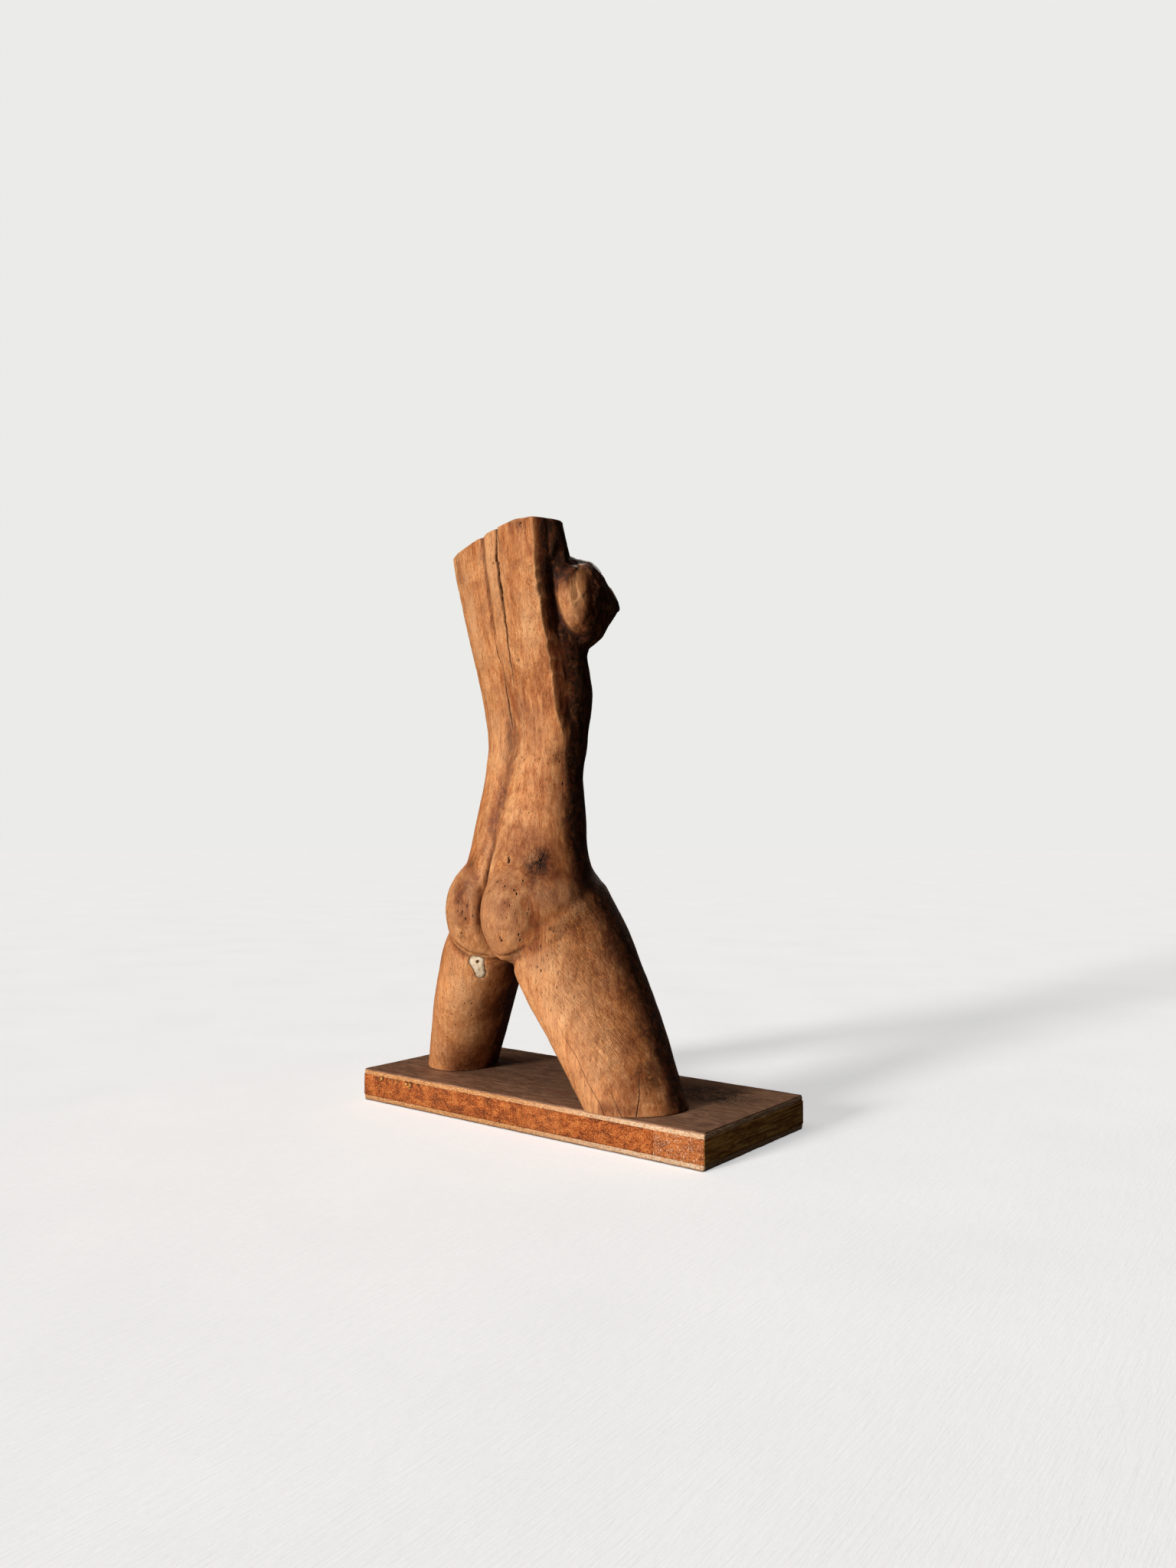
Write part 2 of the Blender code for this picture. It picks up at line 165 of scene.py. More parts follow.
# The star-shaped knot on the right hip: its middle, and each check's turn in degrees and length
KNOT = (-33.3, 19.2, 131.2)
KNOT_CHECKS = ((68, 8), (20, 4), (-35, 4.5), (-95, 8.5), (-140, 5), (160, 5.5), (112, 4))

# Chips and worm holes: across, back, up, radius and depth, and the share of the radius that is open
PIT_SHARE = 0.52
PITS = (
    (-17.3, 28.4, 131.7, 1.7, 1.6), (-16.4, 28.3, 133.4, 1.1, 1.2), (-15.6, 20.1, 244.8, 0.8, 1),
    (-7.4, 32.2, 299.9, 0.8, 1), (-11.9, 31.5, 299, 0.8, 1), (-30.5, 30.6, 318.4, 0.7, 0.6),
    (-27.6, 31.4, 316, 0.5, 0.6), (-32.4, 29.6, 312.6, 0.6, 0.6), (-23.9, 38.5, 88.5, 1.2, 1),
    (-23.2, 38.7, 90.2, 0.9, 0.8), (-32.3, 33.2, 92.3, 0.8, 0.8), (-31.9, 31.8, 89, 0.9, 0.8),
    (-30.8, 29.1, 121.4, 0.8, 0.8), (-30.9, 33.7, 114.4, 0.9, 0.9), (-29.4, 34.4, 116.4, 0.7, 0.8),
    (-29.5, 37.3, 108.1, 0.6, 0.7), (-27.2, 38.8, 109.5, 0.6, 0.7), (-13.1, 32.6, 126, 0.6, 0.7),
    (-10, 32.6, 124.6, 0.6, 0.7), (-7.5, 32.8, 122, 0.6, 0.7), (-5.6, 32.6, 119.5, 0.6, 0.7),
    (-18, 39.6, 117.1, 0.6, 0.7), (-20.8, 36.4, 121.2, 0.7, 0.7), (-24.6, 36.7, 118.5, 0.8, 0.8),
    (-22.5, 35.5, 122.5, 0.6, 0.7), (-37.4, 21.6, 45.6, 0.8, 0.8), (-37.7, 24.5, 74.5, 0.8, 0.8),
    (-39.5, 23.5, 72.5, 0.6, 0.7), (-47.6, 19, 63.9, 0.6, 0.6), (52.9, 19.9, 23.7, 0.8, 0.8),
    (53.8, 19, 20.6, 0.7, 0.7), (38.5, 3.5, 28.3, 0.8, 0.7), (-32.7, 4.2, 187.4, 0.7, 0.8),
    (-30.2, 7, 190.6, 0.5, 0.6), (-33.6, 3, 192.4, 0.5, 0.5), (-27.8, 9.4, 186, 0.45, 0.5),
    (-34.2, 3.3, 174.7, 0.8, 0.8), (-22, 16.6, 158, 0.5, 0.6),
    (12, 40.6, 103, 0.7, 0.8), (7.4, 40, 98.9, 0.8, 0.8), (11.5, 39, 90.6, 0.9, 0.9),
)

# The edge where the back turns to the flank, by height, across and back, how far it stands up and
# how deep it is notched
RIDGE = (
    (180, 34, 0), (196, 34.3, 0.5), (206, 33.2, 4), (217, 32.8, 7), (230, 33.6, 9.4), (243, 34.3, 12.6),
    (257, 35, 16.4), (270, 35.6, 19.4), (289, 34.8, 24), (308, 36.6, 27), (325, 36.6, 28),
)
RIDGE_CREST = 0.7
RIDGE_BITE = 0.8
RIDGE_PERIOD = 15
RIDGE_FOOT = 190
RIDGE_LEFT_SHARE = 0.6

# The breast that hides that edge: its middle by back and up, its reach, and where it starts across
BREAST = (-6, 278)
BREAST_REACH = (18.5, 20.5)
BREAST_START = 40.5

# Where the faces are split finer: along that edge on the right, and round the right breast
RIDGE_LINE = [(-out, back, up, 0) for up, out, back in RIDGE[2:]]
RIDGE_REACH = 3.5
BREAST_AXIS = ((-44, -4, 272, 0), (-44, -4, 288, 0))
BREAST_ROUND = 21

# How deep the flank is cut back beyond that edge, by height, and the width that it takes
FLANK_CUT = (
    (190, 0, 24), (212, 3.2, 24), (248, 3.4, 26), (264, 6, 30), (290, 6, 28), (301, 4.6, 32),
    (325, 3.6, 32),
)
FLANK_FALL = 9.0

# The panel of the back that is cut a little lower, left of the spine
PANEL_START = 0.8
PANEL_END = 30
PANEL_FOOT = 238
PANEL_DEPTH = 0.8

# How strongly the flat knife cuts show, by place: middle, reach and share
FACET_REGIONS = (
    ((-38, -12, 279), 30, 1.0),
    ((38, -12, 279), 30, 1.0),
    ((-42, 6, 285), 22, 0.8),
    ((-40, 0, 225), 30, 0.5),
    ((-38, -4, 170), 26, 0.6),
    ((42, 0, 225), 34, 0.75),
    ((0, -24, 210), 60, 0.55),
    ((0, -24, 120), 40, 0.4),
)
FACET_BASE = 0.22
FACET_WIDTH = 6.5
FACET_LENGTH = 13.0
FACET_LIMIT = 0.95
FACET_EDGE = 26.0
FACET_TRIES = 12000
FACET_APART = 0.62
FACET_NEAR = 7

# The dark on the figure's right, partly patina and partly painted shade where it turns from the key light,
# from a turn in degrees on: on the left and right thigh, and on the body by height. And the flank painted
# black as shadow, from a distance past the ridge, by height
THIGH_TOP = 95
THIGH_PATINA_AND_SHADE = (84, 68)
BODY_PATINA_AND_SHADE = ((135, 150), (70, 58))
PATINA_AND_SHADE_FADE = 28
FLANK_SHADOW_START = ((250, 262), (8, 0.5))

# Stains: across, back, up, reach across, reach up, strength
DARK_STAINS = (
    (-33.3, 19.2, 131.2, 9, 9.5, 1.0), (12, 40, 112, 5, 9, 0.4), (9, 41, 100, 4, 8, 0.4),
    (-36, 14, 124, 6, 9, 0.6), (-47, -6, 104, 9, 16, 0.5), (-57, -12, 86, 9, 15, 0.6),
    (-70, -17, 62, 9, 18, 0.65), (-80, -16, 40, 9, 18, 0.65), (-90, -10, 17, 8, 15, 0.7),
    (-31, 5, 190, 4, 5, 0.5), (-35, 2, 176, 4, 6, 0.5), (30, 32, 305, 3, 9, 0.35),
    (62, 4, 6, 8, 9, 0.5), (46, 14, 2, 14, 4, 0.4), (-29, 30, 318, 4, 3, 0.5),
    (11, 39, 88, 4, 4, 0.5), (15, 30, 130, 5, 5, 0.5), (-85, 6, 3, 14, 5, 0.35),
    (60, -6, 40, 8, 30, 0.5),
)
RED_STAINS = (
    (-26, 34, 106, 24, 24, 0.72), (-14, 40, 104, 14, 18, 0.4), (-20, 26, 142, 24, 16, 0.5),
    (6, 22, 150, 14, 22, 0.35), (-8, 16, 216, 13, 28, 0.55), (-38, 16, 128, 14, 18, 0.7),
    (-35, 18, 128, 12, 13, 0.95), (-42, 14, 112, 10, 12, 0.6), (-33, 6, 170, 7, 22, 0.55),
    (-38, 4, 280, 5, 26, 0.6), (-37, 2, 240, 6, 30, 0.7), (13, 38, 107, 14, 18, 0.75),
    (55, 10, 10, 18, 13, 0.6), (-80, -2, 50, 8, 30, 0.5), (-86, 2, 14, 10, 12, 0.6),
    (52, 6, 3, 16, 5, 0.8), (-82, 8, 2, 20, 4, 0.5),
    (28, 29, 300, 7, 14, 0.35), (-25, 20, 232, 8, 10, 0.3), (40, -6, 50, 10, 30, 0.5),
    (-22, 32, 100, 14, 20, 0.45), (-28, 33, 100, 8, 12, 0.5), (20, 38, 100, 10, 14, 0.5),
)
PURPLE_STAINS = (
    (8, 37, 120, 4, 12, 0.85),
    (-2, 14, 186, 3.5, 9, 0.6), (0.9, 19, 168, 4.5, 11, 0.85), (4, 23, 153, 5, 9, 0.85),
    (6, 27, 140, 4, 7, 0.7), (0.5, 13.5, 210, 2.6, 8, 0.8), (-41, 22, 113, 6, 5, 0.7),
    (-18, 36, 118, 9, 8, 0.45), (-15, 30, 296, 4, 14, 0.3), (-60, -4, 70, 9, 22, 0.4),
    (-12, 38, 96, 6, 14, 0.35),
)
# Pale stains, partly painted light where the key light falls brightest, as on the left thigh
PALE_STAINS_AND_PAINTED_LIGHT = (
    (-47.4, 4, 111.6, 9, 8, 0.8), (-37.8, 2.8, 151, 2, 3, 0.8), (-40, 23, 72, 12, 9, 0.7),
    (-4, 33, 290, 4.5, 40, 0.7), (22, 26, 262, 9, 46, 0.65), (-26, 22, 262, 6, 16, 0.45),
    (10, 14, 200, 12, 22, 0.45), (-62, 14, 40, 9, 26, 0.45), (-20, 16, 205, 12, 14, 0.25),
    (28, 29, 58, 8, 12, 0.6), (32, 23, 42, 8, 12, 0.6), (42, 13, 27, 8, 10, 0.5), (-45, 0, 276, 9, 16, 0.5),
    (-50, 18, 56, 14, 22, 0.6), (-68, 13, 24, 12, 18, 0.4),
)
RASPED = (
    (-50, 8, 92, 16, 20, 1.0), (-56, 6, 70, 18, 30, 1.0), (-72, 2, 36, 18, 34, 0.9),
    (-40, 18, 108, 12, 16, 0.7), (60, 4, 40, 16, 40, 0.7), (-30, -20, 90, 22, 40, 0.6),
    (-31, 14, 135, 9, 9, 0.5), (40, 10, 60, 16, 30, 0.3),
)
WORMED = (
    (-14, 34, 118, 12, 10, 1.0), (12, 38, 106, 15, 22, 1.0), (-30, 32, 104, 14, 16, 0.8),
    (-40, 22, 92, 12, 8, 0.9), (-40, 20, 64, 14, 24, 0.6), (34, 20, 44, 20, 36, 0.8),
    (-45, 8, 104, 10, 8, 0.7),
)

# The filler: where it sits, how far its axis turns towards the crotch and dips, in degrees, and in
# its own frame its head, tail and hole, each as (across, up, radius). Its rim is an ellipse round
# it: half width, half height and middle by height
FILLER_AT = (15.5, 25.5, 69.8)
FILLER_TURN = 48
FILLER_DIP = 18
FILLER_HEAD = (0.3, 2.6, 4.4)
FILLER_TAIL = (-1.6, -4.6, 3.0)
FILLER_HOLE = (-0.2, 2.4, 1.15)
FILLER_MIDDLE = (-0.5, 0.2)
FILLER_WAIST = 0.55
FILLER_RINGS = 26
FILLER_SPOKES = 72
FILLER_POCKET = 1.1
FILLER_RISE = 0.25
FILLER_GROWTH = 1.1
FILLER_HOLE_DEPTH = 1.9
FILLER_SKIRT = 0.55
FILLER_RIM = (4.2, 6.5, -0.8)

# Chips out of the board's long edge at the back and its end on the right, by axis and side, each
# as along that side, up, radius and depth in millimetres
CHIPS = {
    (1, 1): (
        (83, 14.2, 2.6, 1.6), (86.5, 14.6, 1.6, 1.2), (94, 14.6, 1.8, 1.2), (108, 15, 1.8, 1),
        (101, 14.9, 1.2, 0.9), (76, 15, 1.2, 0.8), (98, 14.2, 1.2, 0.7), (113, 14.4, 1.1, 0.8),
        (66, 14, 0.8, 0.6), (36, 12, 0.7, 0.6), (20, 13, 0.8, 0.6), (-60, 9, 0.7, 0.6),
        (-124, 17, 1.4, 0.8), (-123.6, 6, 1.2, 0.7),
    ),
    (0, -1): (
        (-50, 15.4, 1.6, 1), (-51.4, 7, 1.4, 0.9), (-51.8, 12, 0.9, 0.8), (51.5, 5.5, 1.1, 0.8),
        (38, 16.5, 1, 0.6),
    ),
}

# The board's layers: how much of each glue line they close, by kind the size of the faces and how
# ragged the sawn sides are, how pale each strip of the core is, and the wear: of a corner on the
# right and left, of the lower and upper edges and of the top
GLUE_FILL = 0.12
VENEER_MESH = ((1.3, 1.3, 0.3), 0.42)
CROSSBAND_MESH = ((1.3, 1.3, 0.35), 0.34)
CORE_MESH = ((0.9, 1.4, 0.9), 0.22)
LAYER_TONE = 0.5
CORNER_WEAR = {False: 1.1, True: 2.8}
LOWER_EDGE_WEAR = 0.5
UPPER_EDGE_WEAR = 0.45
EDGE_ROUND = 0.7
TOP_WEAR = 0.07
CORE_TONES = (0.75, 0.35, 0.32, 0.52, 0.38, 0.36, 0.42, 0.4, 0.36)

# The middle of the log's growth rings
PITH = (14, -34, 0)

# The camera: its place, where it looks, and the focal length as a share of the picture's height
CAMERA_AT = (-0.4349, 0.5420, 0.1705)
CAMERA_LOOK = (0.6150, -0.7885)
CAMERA_TILT = math.radians(2.068)
FOCAL_SHARE = 1513.3 / 2048
SENSOR = 36

# Soft suns: turn from the camera's back to its left, rise, softness (degrees), power and colour
SUNS = {
    "key": (47, 12, 12, 4.0, (1.0, 0.96, 0.9)),
    "sky": (47, 62, 45, 0.8, (1.0, 0.97, 0.93)),
    "front": (180, 35, 35, 2.6, (1.0, 0.96, 0.9)),
}
# The front light fills in the side away from the camera, and throws no shadow on these
NOT_LIT_FROM_THE_FRONT = ("floor", "plinth_face_veneer_worn")
BOUNCE_POWER = 0.3
BOUNCE_COLOUR = (1.0, 0.9, 0.76)
BOUNCE_SIZE = (0.4, 0.34)
BOUNCE_AT = (0.0, 0.24, 0.001)
FILL_LIGHT = 0.03
FILL_COLOUR = (1, 0.87, 0.72, 1)
BACKDROP_LIGHT = (0.83, 0.835, 0.81, 1)
FLOOR_REACH = 8.0
FLOOR_DROP = 0.0003
FLOOR_GLOW = 0.45
FLOOR_GLOW_COLOUR = (0.97, 0.98, 1, 1)


def unit(values):
    return np.clip(values, 0, 1)


def squared_reach(points, middle, reach):
    """The square of the distance from a middle, in reaches that may differ by axis."""
    return (((points - middle) / reach) ** 2).sum(1)


def matrix_times(matrix, points):
    grid = np.array(matrix)
    return points @ grid[:3, :3].T + grid[:3, 3]


def noise_at(points, size, seed):
    """Smooth noise from -1 to 1, with lumps of about that size."""
    place = points / size + seed * 17.37
    cell = np.floor(place).astype(np.int64)
    part = place - cell
    part = part * part * (3 - 2 * part)
    total = np.zeros(len(points))
    for corner in itertools.product((0, 1), repeat=3):
        x, y, z = (cell + corner).T
        code = (x * 73856093) ^ (y * 19349663) ^ (z * 83492791)
        code = ((code ^ (code >> 13)) * 1274126177) & 0x7FFFFFFF
        code = ((code ^ (code >> 15)) * 668265263) & 0x7FFFFFFF
        weight = np.prod(np.where(corner, part, 1 - part), axis=1)
        total += weight * (code / 0x3FFFFFFF - 1)
    return total


def rough_noise(points, size, seed, octaves=3):
    total = np.zeros(len(points))
    for octave in range(octaves):
        total += noise_at(points, size / 2**octave, seed + octave) / 2**octave
    return total


def laid_on(skin, path, sway=0.3):
    """The path with a point every few millimetres, laid on the skin and a little uneven."""
    path = np.array(path, float)
    rows = []
    for start, end in zip(path, path[1:]):
        count = max(1, math.ceil(np.linalg.norm(end[:3] - start[:3]) / PATH_STEP))
        rows.extend(start + (end - start) * i / count for i in range(count))
    rows.append(path[-1])
    rows = np.array(rows)
    rows[:, 0] += sway * noise_at(rows[:, :3], 3.5, 5)
    for row in rows:
        row[:3] = skin.find_nearest(Vector(row[:3]))[0]
    return rows


def near_path(points, path, reach):
    """Each point's distance to a path, at most reach, and the path's other columns there."""
    best = np.full(len(points), float(reach))
    extra = np.zeros((len(points), path.shape[1] - 3))
    low, high = path[:, :3].min(0) - reach, path[:, :3].max(0) + reach
    here = np.flatnonzero(((points > low) & (points < high)).all(1))
    local = points[here]
    for start, end in zip(path, path[1:]):
        along = end[:3] - start[:3]
        share = unit((local - start[:3]) @ along / max(along @ along, 1e-9))
        away = np.linalg.norm(local - start[:3] - share[:, None] * along, axis=1)
        closer = away < best[here]
        best[here[closer]] = away[closer]
        extra[here[closer]] = start[3:] + share[closer, None] * (end[3:] - start[3:])
    return best, extra


def near_mark(points, path, reach):
    """Each point's distance to a crack or crease, and its half width and depth there."""
    away, extra = near_path(points, path, reach)
    return away, np.maximum(extra[:, 0], 1e-3), extra[:, 1]


def mesh_of(form, name):
    mesh = bpy.data.meshes.new(name)
    form.to_mesh(mesh)
    form.free()
    return mesh


def read(mesh, what):
    flat = np.empty(len(mesh.vertices) * 3)
    mesh.vertices.foreach_get(what, flat)
    return flat.reshape(-1, 3)


def set_points(mesh, points):
    mesh.vertices.foreach_set("co", np.ascontiguousarray(points, float).ravel())
    mesh.update()


def crack_across(height):
    rows = np.array(DRYING_CRACK)[::-1]
    return np.interp(height, rows[:, 2], rows[:, 0])


def is_crack_wall(face):
    """Whether a face of the CAD torso lies inside its drying crack."""
    middle = face.calc_center_median()
    foot_low, foot_high = WEDGE_FOOT
    if middle.z < foot_low or middle.y < WEDGE_FRONT:
        return False
    if abs(middle.x - crack_across(middle.z)) > WEDGE_HALF_WIDTH:
        return False
    return abs(face.normal.x) > 0.8 or (middle.z < foot_high and abs(face.normal.z) > 0.8)


def top_plane(across):
    """The height of the sawn top."""
    return TOP - max(0.0, across - SHOULDER) * math.tan(SHOULDER_FALL)


def plain_skin():
    """The CAD torso as one skin of even faces, with its crack and the filler's pocket closed."""
    form = bmesh.new()
    form.from_mesh(NODES["torso"].data)
    bmesh.ops.remove_doubles(form, verts=form.verts, dist=1e-6)
    form.transform(TO_FIGURE)
    form.normal_update()
    walls = [face for face in form.faces if is_crack_wall(face)]
    bmesh.ops.delete(form, geom=walls, context="FACES")
    for vert in form.verts:
        if vert.is_boundary:
            vert.co.x = crack_across(vert.co.z)
        if abs(vert.co.z - top_plane(vert.co.x)) < 0.1:
            vert.co += TRUNK_LEAN * CAP_MARGIN
        elif vert.co.z < 0.05:
            vert.co += (LEFT_THIGH_LEAN if vert.co.x > 0 else RIGHT_THIGH_LEAN) * CAP_MARGIN
    plug = bmesh.new()
    plug.from_mesh(NODES["thigh_filler"].data)
    plug.transform(TO_FIGURE)
    middle = sum((vert.co for vert in plug.verts), Vector()) / len(plug.verts)
    for vert in plug.verts:
        vert.co = middle + (vert.co - middle) * FILLER_GROWTH
    form.from_mesh(mesh_of(plug, "plug"))
    work = bpy.data.objects.new("skin", mesh_of(form, "skin"))
    bpy.context.scene.collection.objects.link(work)
    remesh = work.modifiers.new("even faces", "REMESH")
    remesh.mode = "VOXEL"
    remesh.voxel_size = VOXEL
    smooth = work.modifiers.new("smooth", "SMOOTH")
    smooth.factor = 0.5
    smooth.iterations = SMOOTHING
    graph = bpy.context.evaluated_depsgraph_get()
    skin = bpy.data.meshes.new_from_object(work.evaluated_get(graph))
    bpy.data.objects.remove(work)
    return skin


def saw_ends(form):
    """Saws the top and the soles flat. The new faces get the second material."""
    fall = Vector((math.sin(SHOULDER_FALL), 0, math.cos(SHOULDER_FALL)))
    for through, outward in (
        (Vector((0, 0, TOP)), Vector((0, 0, 1))),
        (Vector((SHOULDER, 0, TOP)), fall),
        (Vector((0, 0, 0)), Vector((0, 0, -1))),
    ):
        everything = form.verts[:] + form.edges[:] + form.faces[:]
        bmesh.ops.bisect_plane(
            form, geom=everything, plane_co=through, plane_no=outward, clear_outer=True, dist=1e-4
        )
        rim = [edge for edge in form.edges if edge.is_boundary]
        caps = bmesh.ops.edgeloop_fill(form, edges=rim)["faces"]
        for cap in caps:
            cap.material_index = 1
            if cap.normal.dot(outward) < 0:
                cap.normal_flip()


def refine(form, paths, reach):
    """Splits the faces near the paths, so that fine cracks come out sharp."""
    form.edges.ensure_lookup_table()
    middles = np.array([(edge.verts[0].co + edge.verts[1].co) / 2 for edge in form.edges])
    near = np.zeros(len(middles), bool)
    for path in paths:
        near |= near_path(middles, path, reach)[0] < reach
    picked = [form.edges[i] for i in np.flatnonzero(near)]
    picked = [edge for edge in picked if all(face.material_index == 0 for face in edge.link_faces)]
    bmesh.ops.subdivide_edges(form, edges=picked, cuts=1, use_grid_fill=True)


def filler_frame():
    return (
        Matrix.Translation(FILLER_AT)
        @ Matrix.Rotation(math.radians(FILLER_TURN), 4, "Z")
        @ Matrix.Rotation(math.radians(-FILLER_DIP), 4, "X")
    )


def bean_inside(across, up):
    """How far inside the filler's outline a point lies, in millimetres, and negative outside it."""
    (x1, z1, r1), (x2, z2, r2) = FILLER_HEAD, FILLER_TAIL
    run, rise = x2 - x1, z2 - z1
    share = unit(((across - x1) * run + (up - z1) * rise) / (run**2 + rise**2))
    away = np.hypot(across - x1 - share * run, up - z1 - share * rise)
    waist = FILLER_WAIST * np.sin(math.pi * share)
    return r1 + share * (r2 - r1) - waist - away


def facet_offset(points, normals):
    """How far each point lies from the flat cuts of the knife round it."""
    rng = np.random.default_rng(7)
    stretch = np.array((FACET_WIDTH, FACET_WIDTH, FACET_LENGTH))
    seeds = []
    placed = np.empty((0, 3))
    for i in rng.permutation(len(points))[:FACET_TRIES]:
        here = points[i] / stretch
        if not len(placed) or ((placed - here) ** 2).sum(1).min() > FACET_APART:
            placed = np.vstack([placed, here])
            seeds.append(i)
    tree = KDTree(len(seeds))
    for number, place in enumerate(placed):
        tree.insert(place, number)
    tree.balance()
    near = [[hit[1] for hit in tree.find_n(place, FACET_NEAR)] for place in points / stretch]
    near = np.array(near)
    seed_at, seed_normal = points[seeds][near], normals[seeds][near]
    facing = (normals[:, None] * seed_normal).sum(2)
    gap = ((points[:, None] / stretch - placed[near]) ** 2).sum(2) + 3 * np.clip(1 - facing, 0, 2)
    weight = np.exp(-FACET_EDGE * (gap - gap.min(1, keepdims=True)))
    height = ((seed_at - points[:, None]) * seed_normal).sum(2)
    result = (weight * height).sum(1) / weight.sum(1)
    return np.clip(result, -FACET_LIMIT, FACET_LIMIT)


def past_ridge(points):
    """How far past the scalloped edge between back and flank each point lies."""
    heights, out, back = np.array(RIDGE).T
    x, y, z = points.T
    across = np.abs(x) - np.interp(z, heights, out)
    forward = np.interp(z, heights, back) - y
    turns = z / RIDGE_PERIOD + 0.9 * noise_at(points * (0, 0, 1), 23, 8)
    bite = RIDGE_BITE * (1 + 0.8 * noise_at(points * (0, 0, 1), 14, 9))
    return 0.6 * across + 0.8 * forward + bite * np.abs(np.sin(math.pi * turns)) - 0.4


def ridge_share(points, normals):
    """Where that edge shows: above the hips, on the back half."""
    x, _, z = points.T
    share = unit((z - RIDGE_FOOT) / 22) * unit(normals[:, 1] * 2 + 2)
    away = squared_reach(points[:, 1:], BREAST, BREAST_REACH)
    on_breast = unit((np.abs(x) - BREAST_START) / 2) * unit(5 * (1.15 - away))
    return share * (1 - on_breast) * np.where(x < 0, 1, RIDGE_LEFT_SHARE)


def cleft_path(skin):
    """The valley between the buttocks, as a path on the skin."""
    heights, middles = np.array(CLEFT_MIDDLE).T
    levels, widths, depths = np.array(CLEFT).T
    inward = Vector((0, -1, 0))
    rows = []
    for up in np.arange(levels[0], levels[-1] + 1, 3.0):
        middle = np.interp(up, heights, middles)
        starts = [Vector((middle + aside, 90, up)) for aside in np.arange(-5, 5, 0.5)]
        hits = [skin.ray_cast(start, inward)[0] for start in starts]
        low = min((at for at in hits if at), key=lambda at: at.y)
        rows.append((*low, np.interp(up, levels, widths), np.interp(up, levels, depths)))
    return np.array(rows)


def spread(points, spots, seed):
    """How strongly soft, ragged spots cover each point, from 0 to 1."""
    total = np.zeros(len(points))
    uneven = 1 + 0.35 * rough_noise(points, 7, seed)
    for *middle, across, up, strength in spots:
        away = squared_reach(points, middle, (across, across, up))
        total = np.maximum(total, strength * np.exp(-away * uneven**2))
    return unit(total)


def pit_share(points, middle, radius):
    """How far into a pit each point lies, from 0 at its rim to 1 in the middle."""
    away = squared_reach(points, middle, (1, 1, 2))
    near = away < 9 * radius**2
    away[near] *= 1 + 0.6 * noise_at(points[near], 0.9, 51)
    return unit(1 - away / radius**2)


def knot_checks(skin):
    middle, normal = skin.find_nearest(Vector(KNOT))[:2]
    side = normal.cross(Vector((0, 0, 1))).normalized()
    up = side.cross(normal)
    paths = []
    for turn, length in KNOT_CHECKS:
        angle = math.radians(turn)
        out = -side * math.cos(angle) + up * math.sin(angle)
        bend = (side * math.sin(angle) + up * math.cos(angle)) * (0.9 if len(paths) % 2 else -0.7)
        start, half, end = middle + out * 0.8, middle + out * length * 0.5 + bend, middle + out * length
        path = ((*start, 0.24, 0.8), (*half, 0.2, 0.6), (*end, 0.1, 0.2))
        paths.append(laid_on(skin, path, sway=0.6))
    return paths


def relief(points, normals, cracks, creases, pits):
    """How far the tools, the years and the grain move each point of the plain skin outwards."""
    share = np.full(len(points), FACET_BASE)
    for middle, reach, strength in FACET_REGIONS:
        away = np.linalg.norm(points - middle, axis=1) / reach
        share = np.maximum(share, strength * unit(1.6 - 1.2 * away))
    moved = share * facet_offset(points, normals)
    moved += 0.22 * rough_noise(points * (1, 1, 0.45), 9, 3) * (0.5 + share)
    moved += 0.06 * rough_noise(points * (1, 1, 0.4), 2.4, 4, 2)

    x, _, z = points.T
    beyond = past_ridge(points)
    crest = RIDGE_CREST * unit(1 - np.abs(beyond) / 4)
    heights, depths, widths = np.array(FLANK_CUT).T
    width = np.interp(z, heights, widths)
    cut = np.interp(z, heights, depths) * unit(beyond / FLANK_FALL) ** 0.7
    cut *= unit((width - beyond) / (width - FLANK_FALL))
    moved += (crest - cut) * ridge_share(points, normals)
    for *middle, reach, up_reach, rise in SWELLS:
        moved += rise * unit(1.3 - squared_reach(points, middle, (reach, reach, up_reach)))

    panel = unit((x - PANEL_START) / 1.4) * unit((PANEL_END - x) / 14)
    panel *= unit((z - PANEL_FOOT) / 26) * unit(normals[:, 1] * 3 - 1)
    moved -= PANEL_DEPTH * panel

    for path in creases:
        away, half_width, depth = near_mark(points, path, 7)
        moved -= depth * unit(1 - (away / (2 * half_width)) ** 2) ** 2
    lip = creases[-1] - (LIP_AWAY, 0, 0, 0, 0)
    away = near_path(points, lip, 4)[0]
    moved += LIP_RISE * unit(1 - (away / 3.5) ** 2)
    for path in cracks:
        away, half_width, depth = near_mark(points, path, 2)
        moved -= depth * unit(1.25 - (away / half_width) ** 2)
    for middle, radius, depth in pits:
        moved -= depth * unit(2 * pit_share(points, middle, radius))

    across, along, up = matrix_times(filler_frame().inverted(), points).T
    near = (np.abs(along) < 9) & (normals @ np.array(filler_frame())[:3, 1] > 0.2)
    inside = np.where(near, bean_inside(across, up) + 0.3, -1)
    moved -= FILLER_POCKET * unit(inside / 0.35)
    return moved


def hollows(mesh, points, normals, rounds):
    """How far each point lies below the mean of those round it: hollows over 0, ridges under it."""
    edges = np.empty(len(mesh.edges) * 2, np.int64)
    mesh.edges.foreach_get("vertices", edges)
    a, b = edges.reshape(-1, 2).T
    size = len(points)
    count = np.bincount(a, minlength=size) + np.bincount(b, minlength=size)
    mean = points.copy()
    for _ in range(rounds):
        sums = [np.bincount(a, column[b], size) + np.bincount(b, column[a], size) for column in mean.T]
        mean = 0.4 * mean + 0.6 * np.stack(sums, 1) / count[:, None]
    return ((mean - points) * normals).sum(1)


def paint(mesh, name, channels):
    """Keeps four shares from 0 to 1 for each point, for the material."""
    layer = mesh.attributes.new(name, "FLOAT_COLOR", "POINT")
    layer.data.foreach_set("color", np.stack(channels, 1).astype(np.float32).ravel())


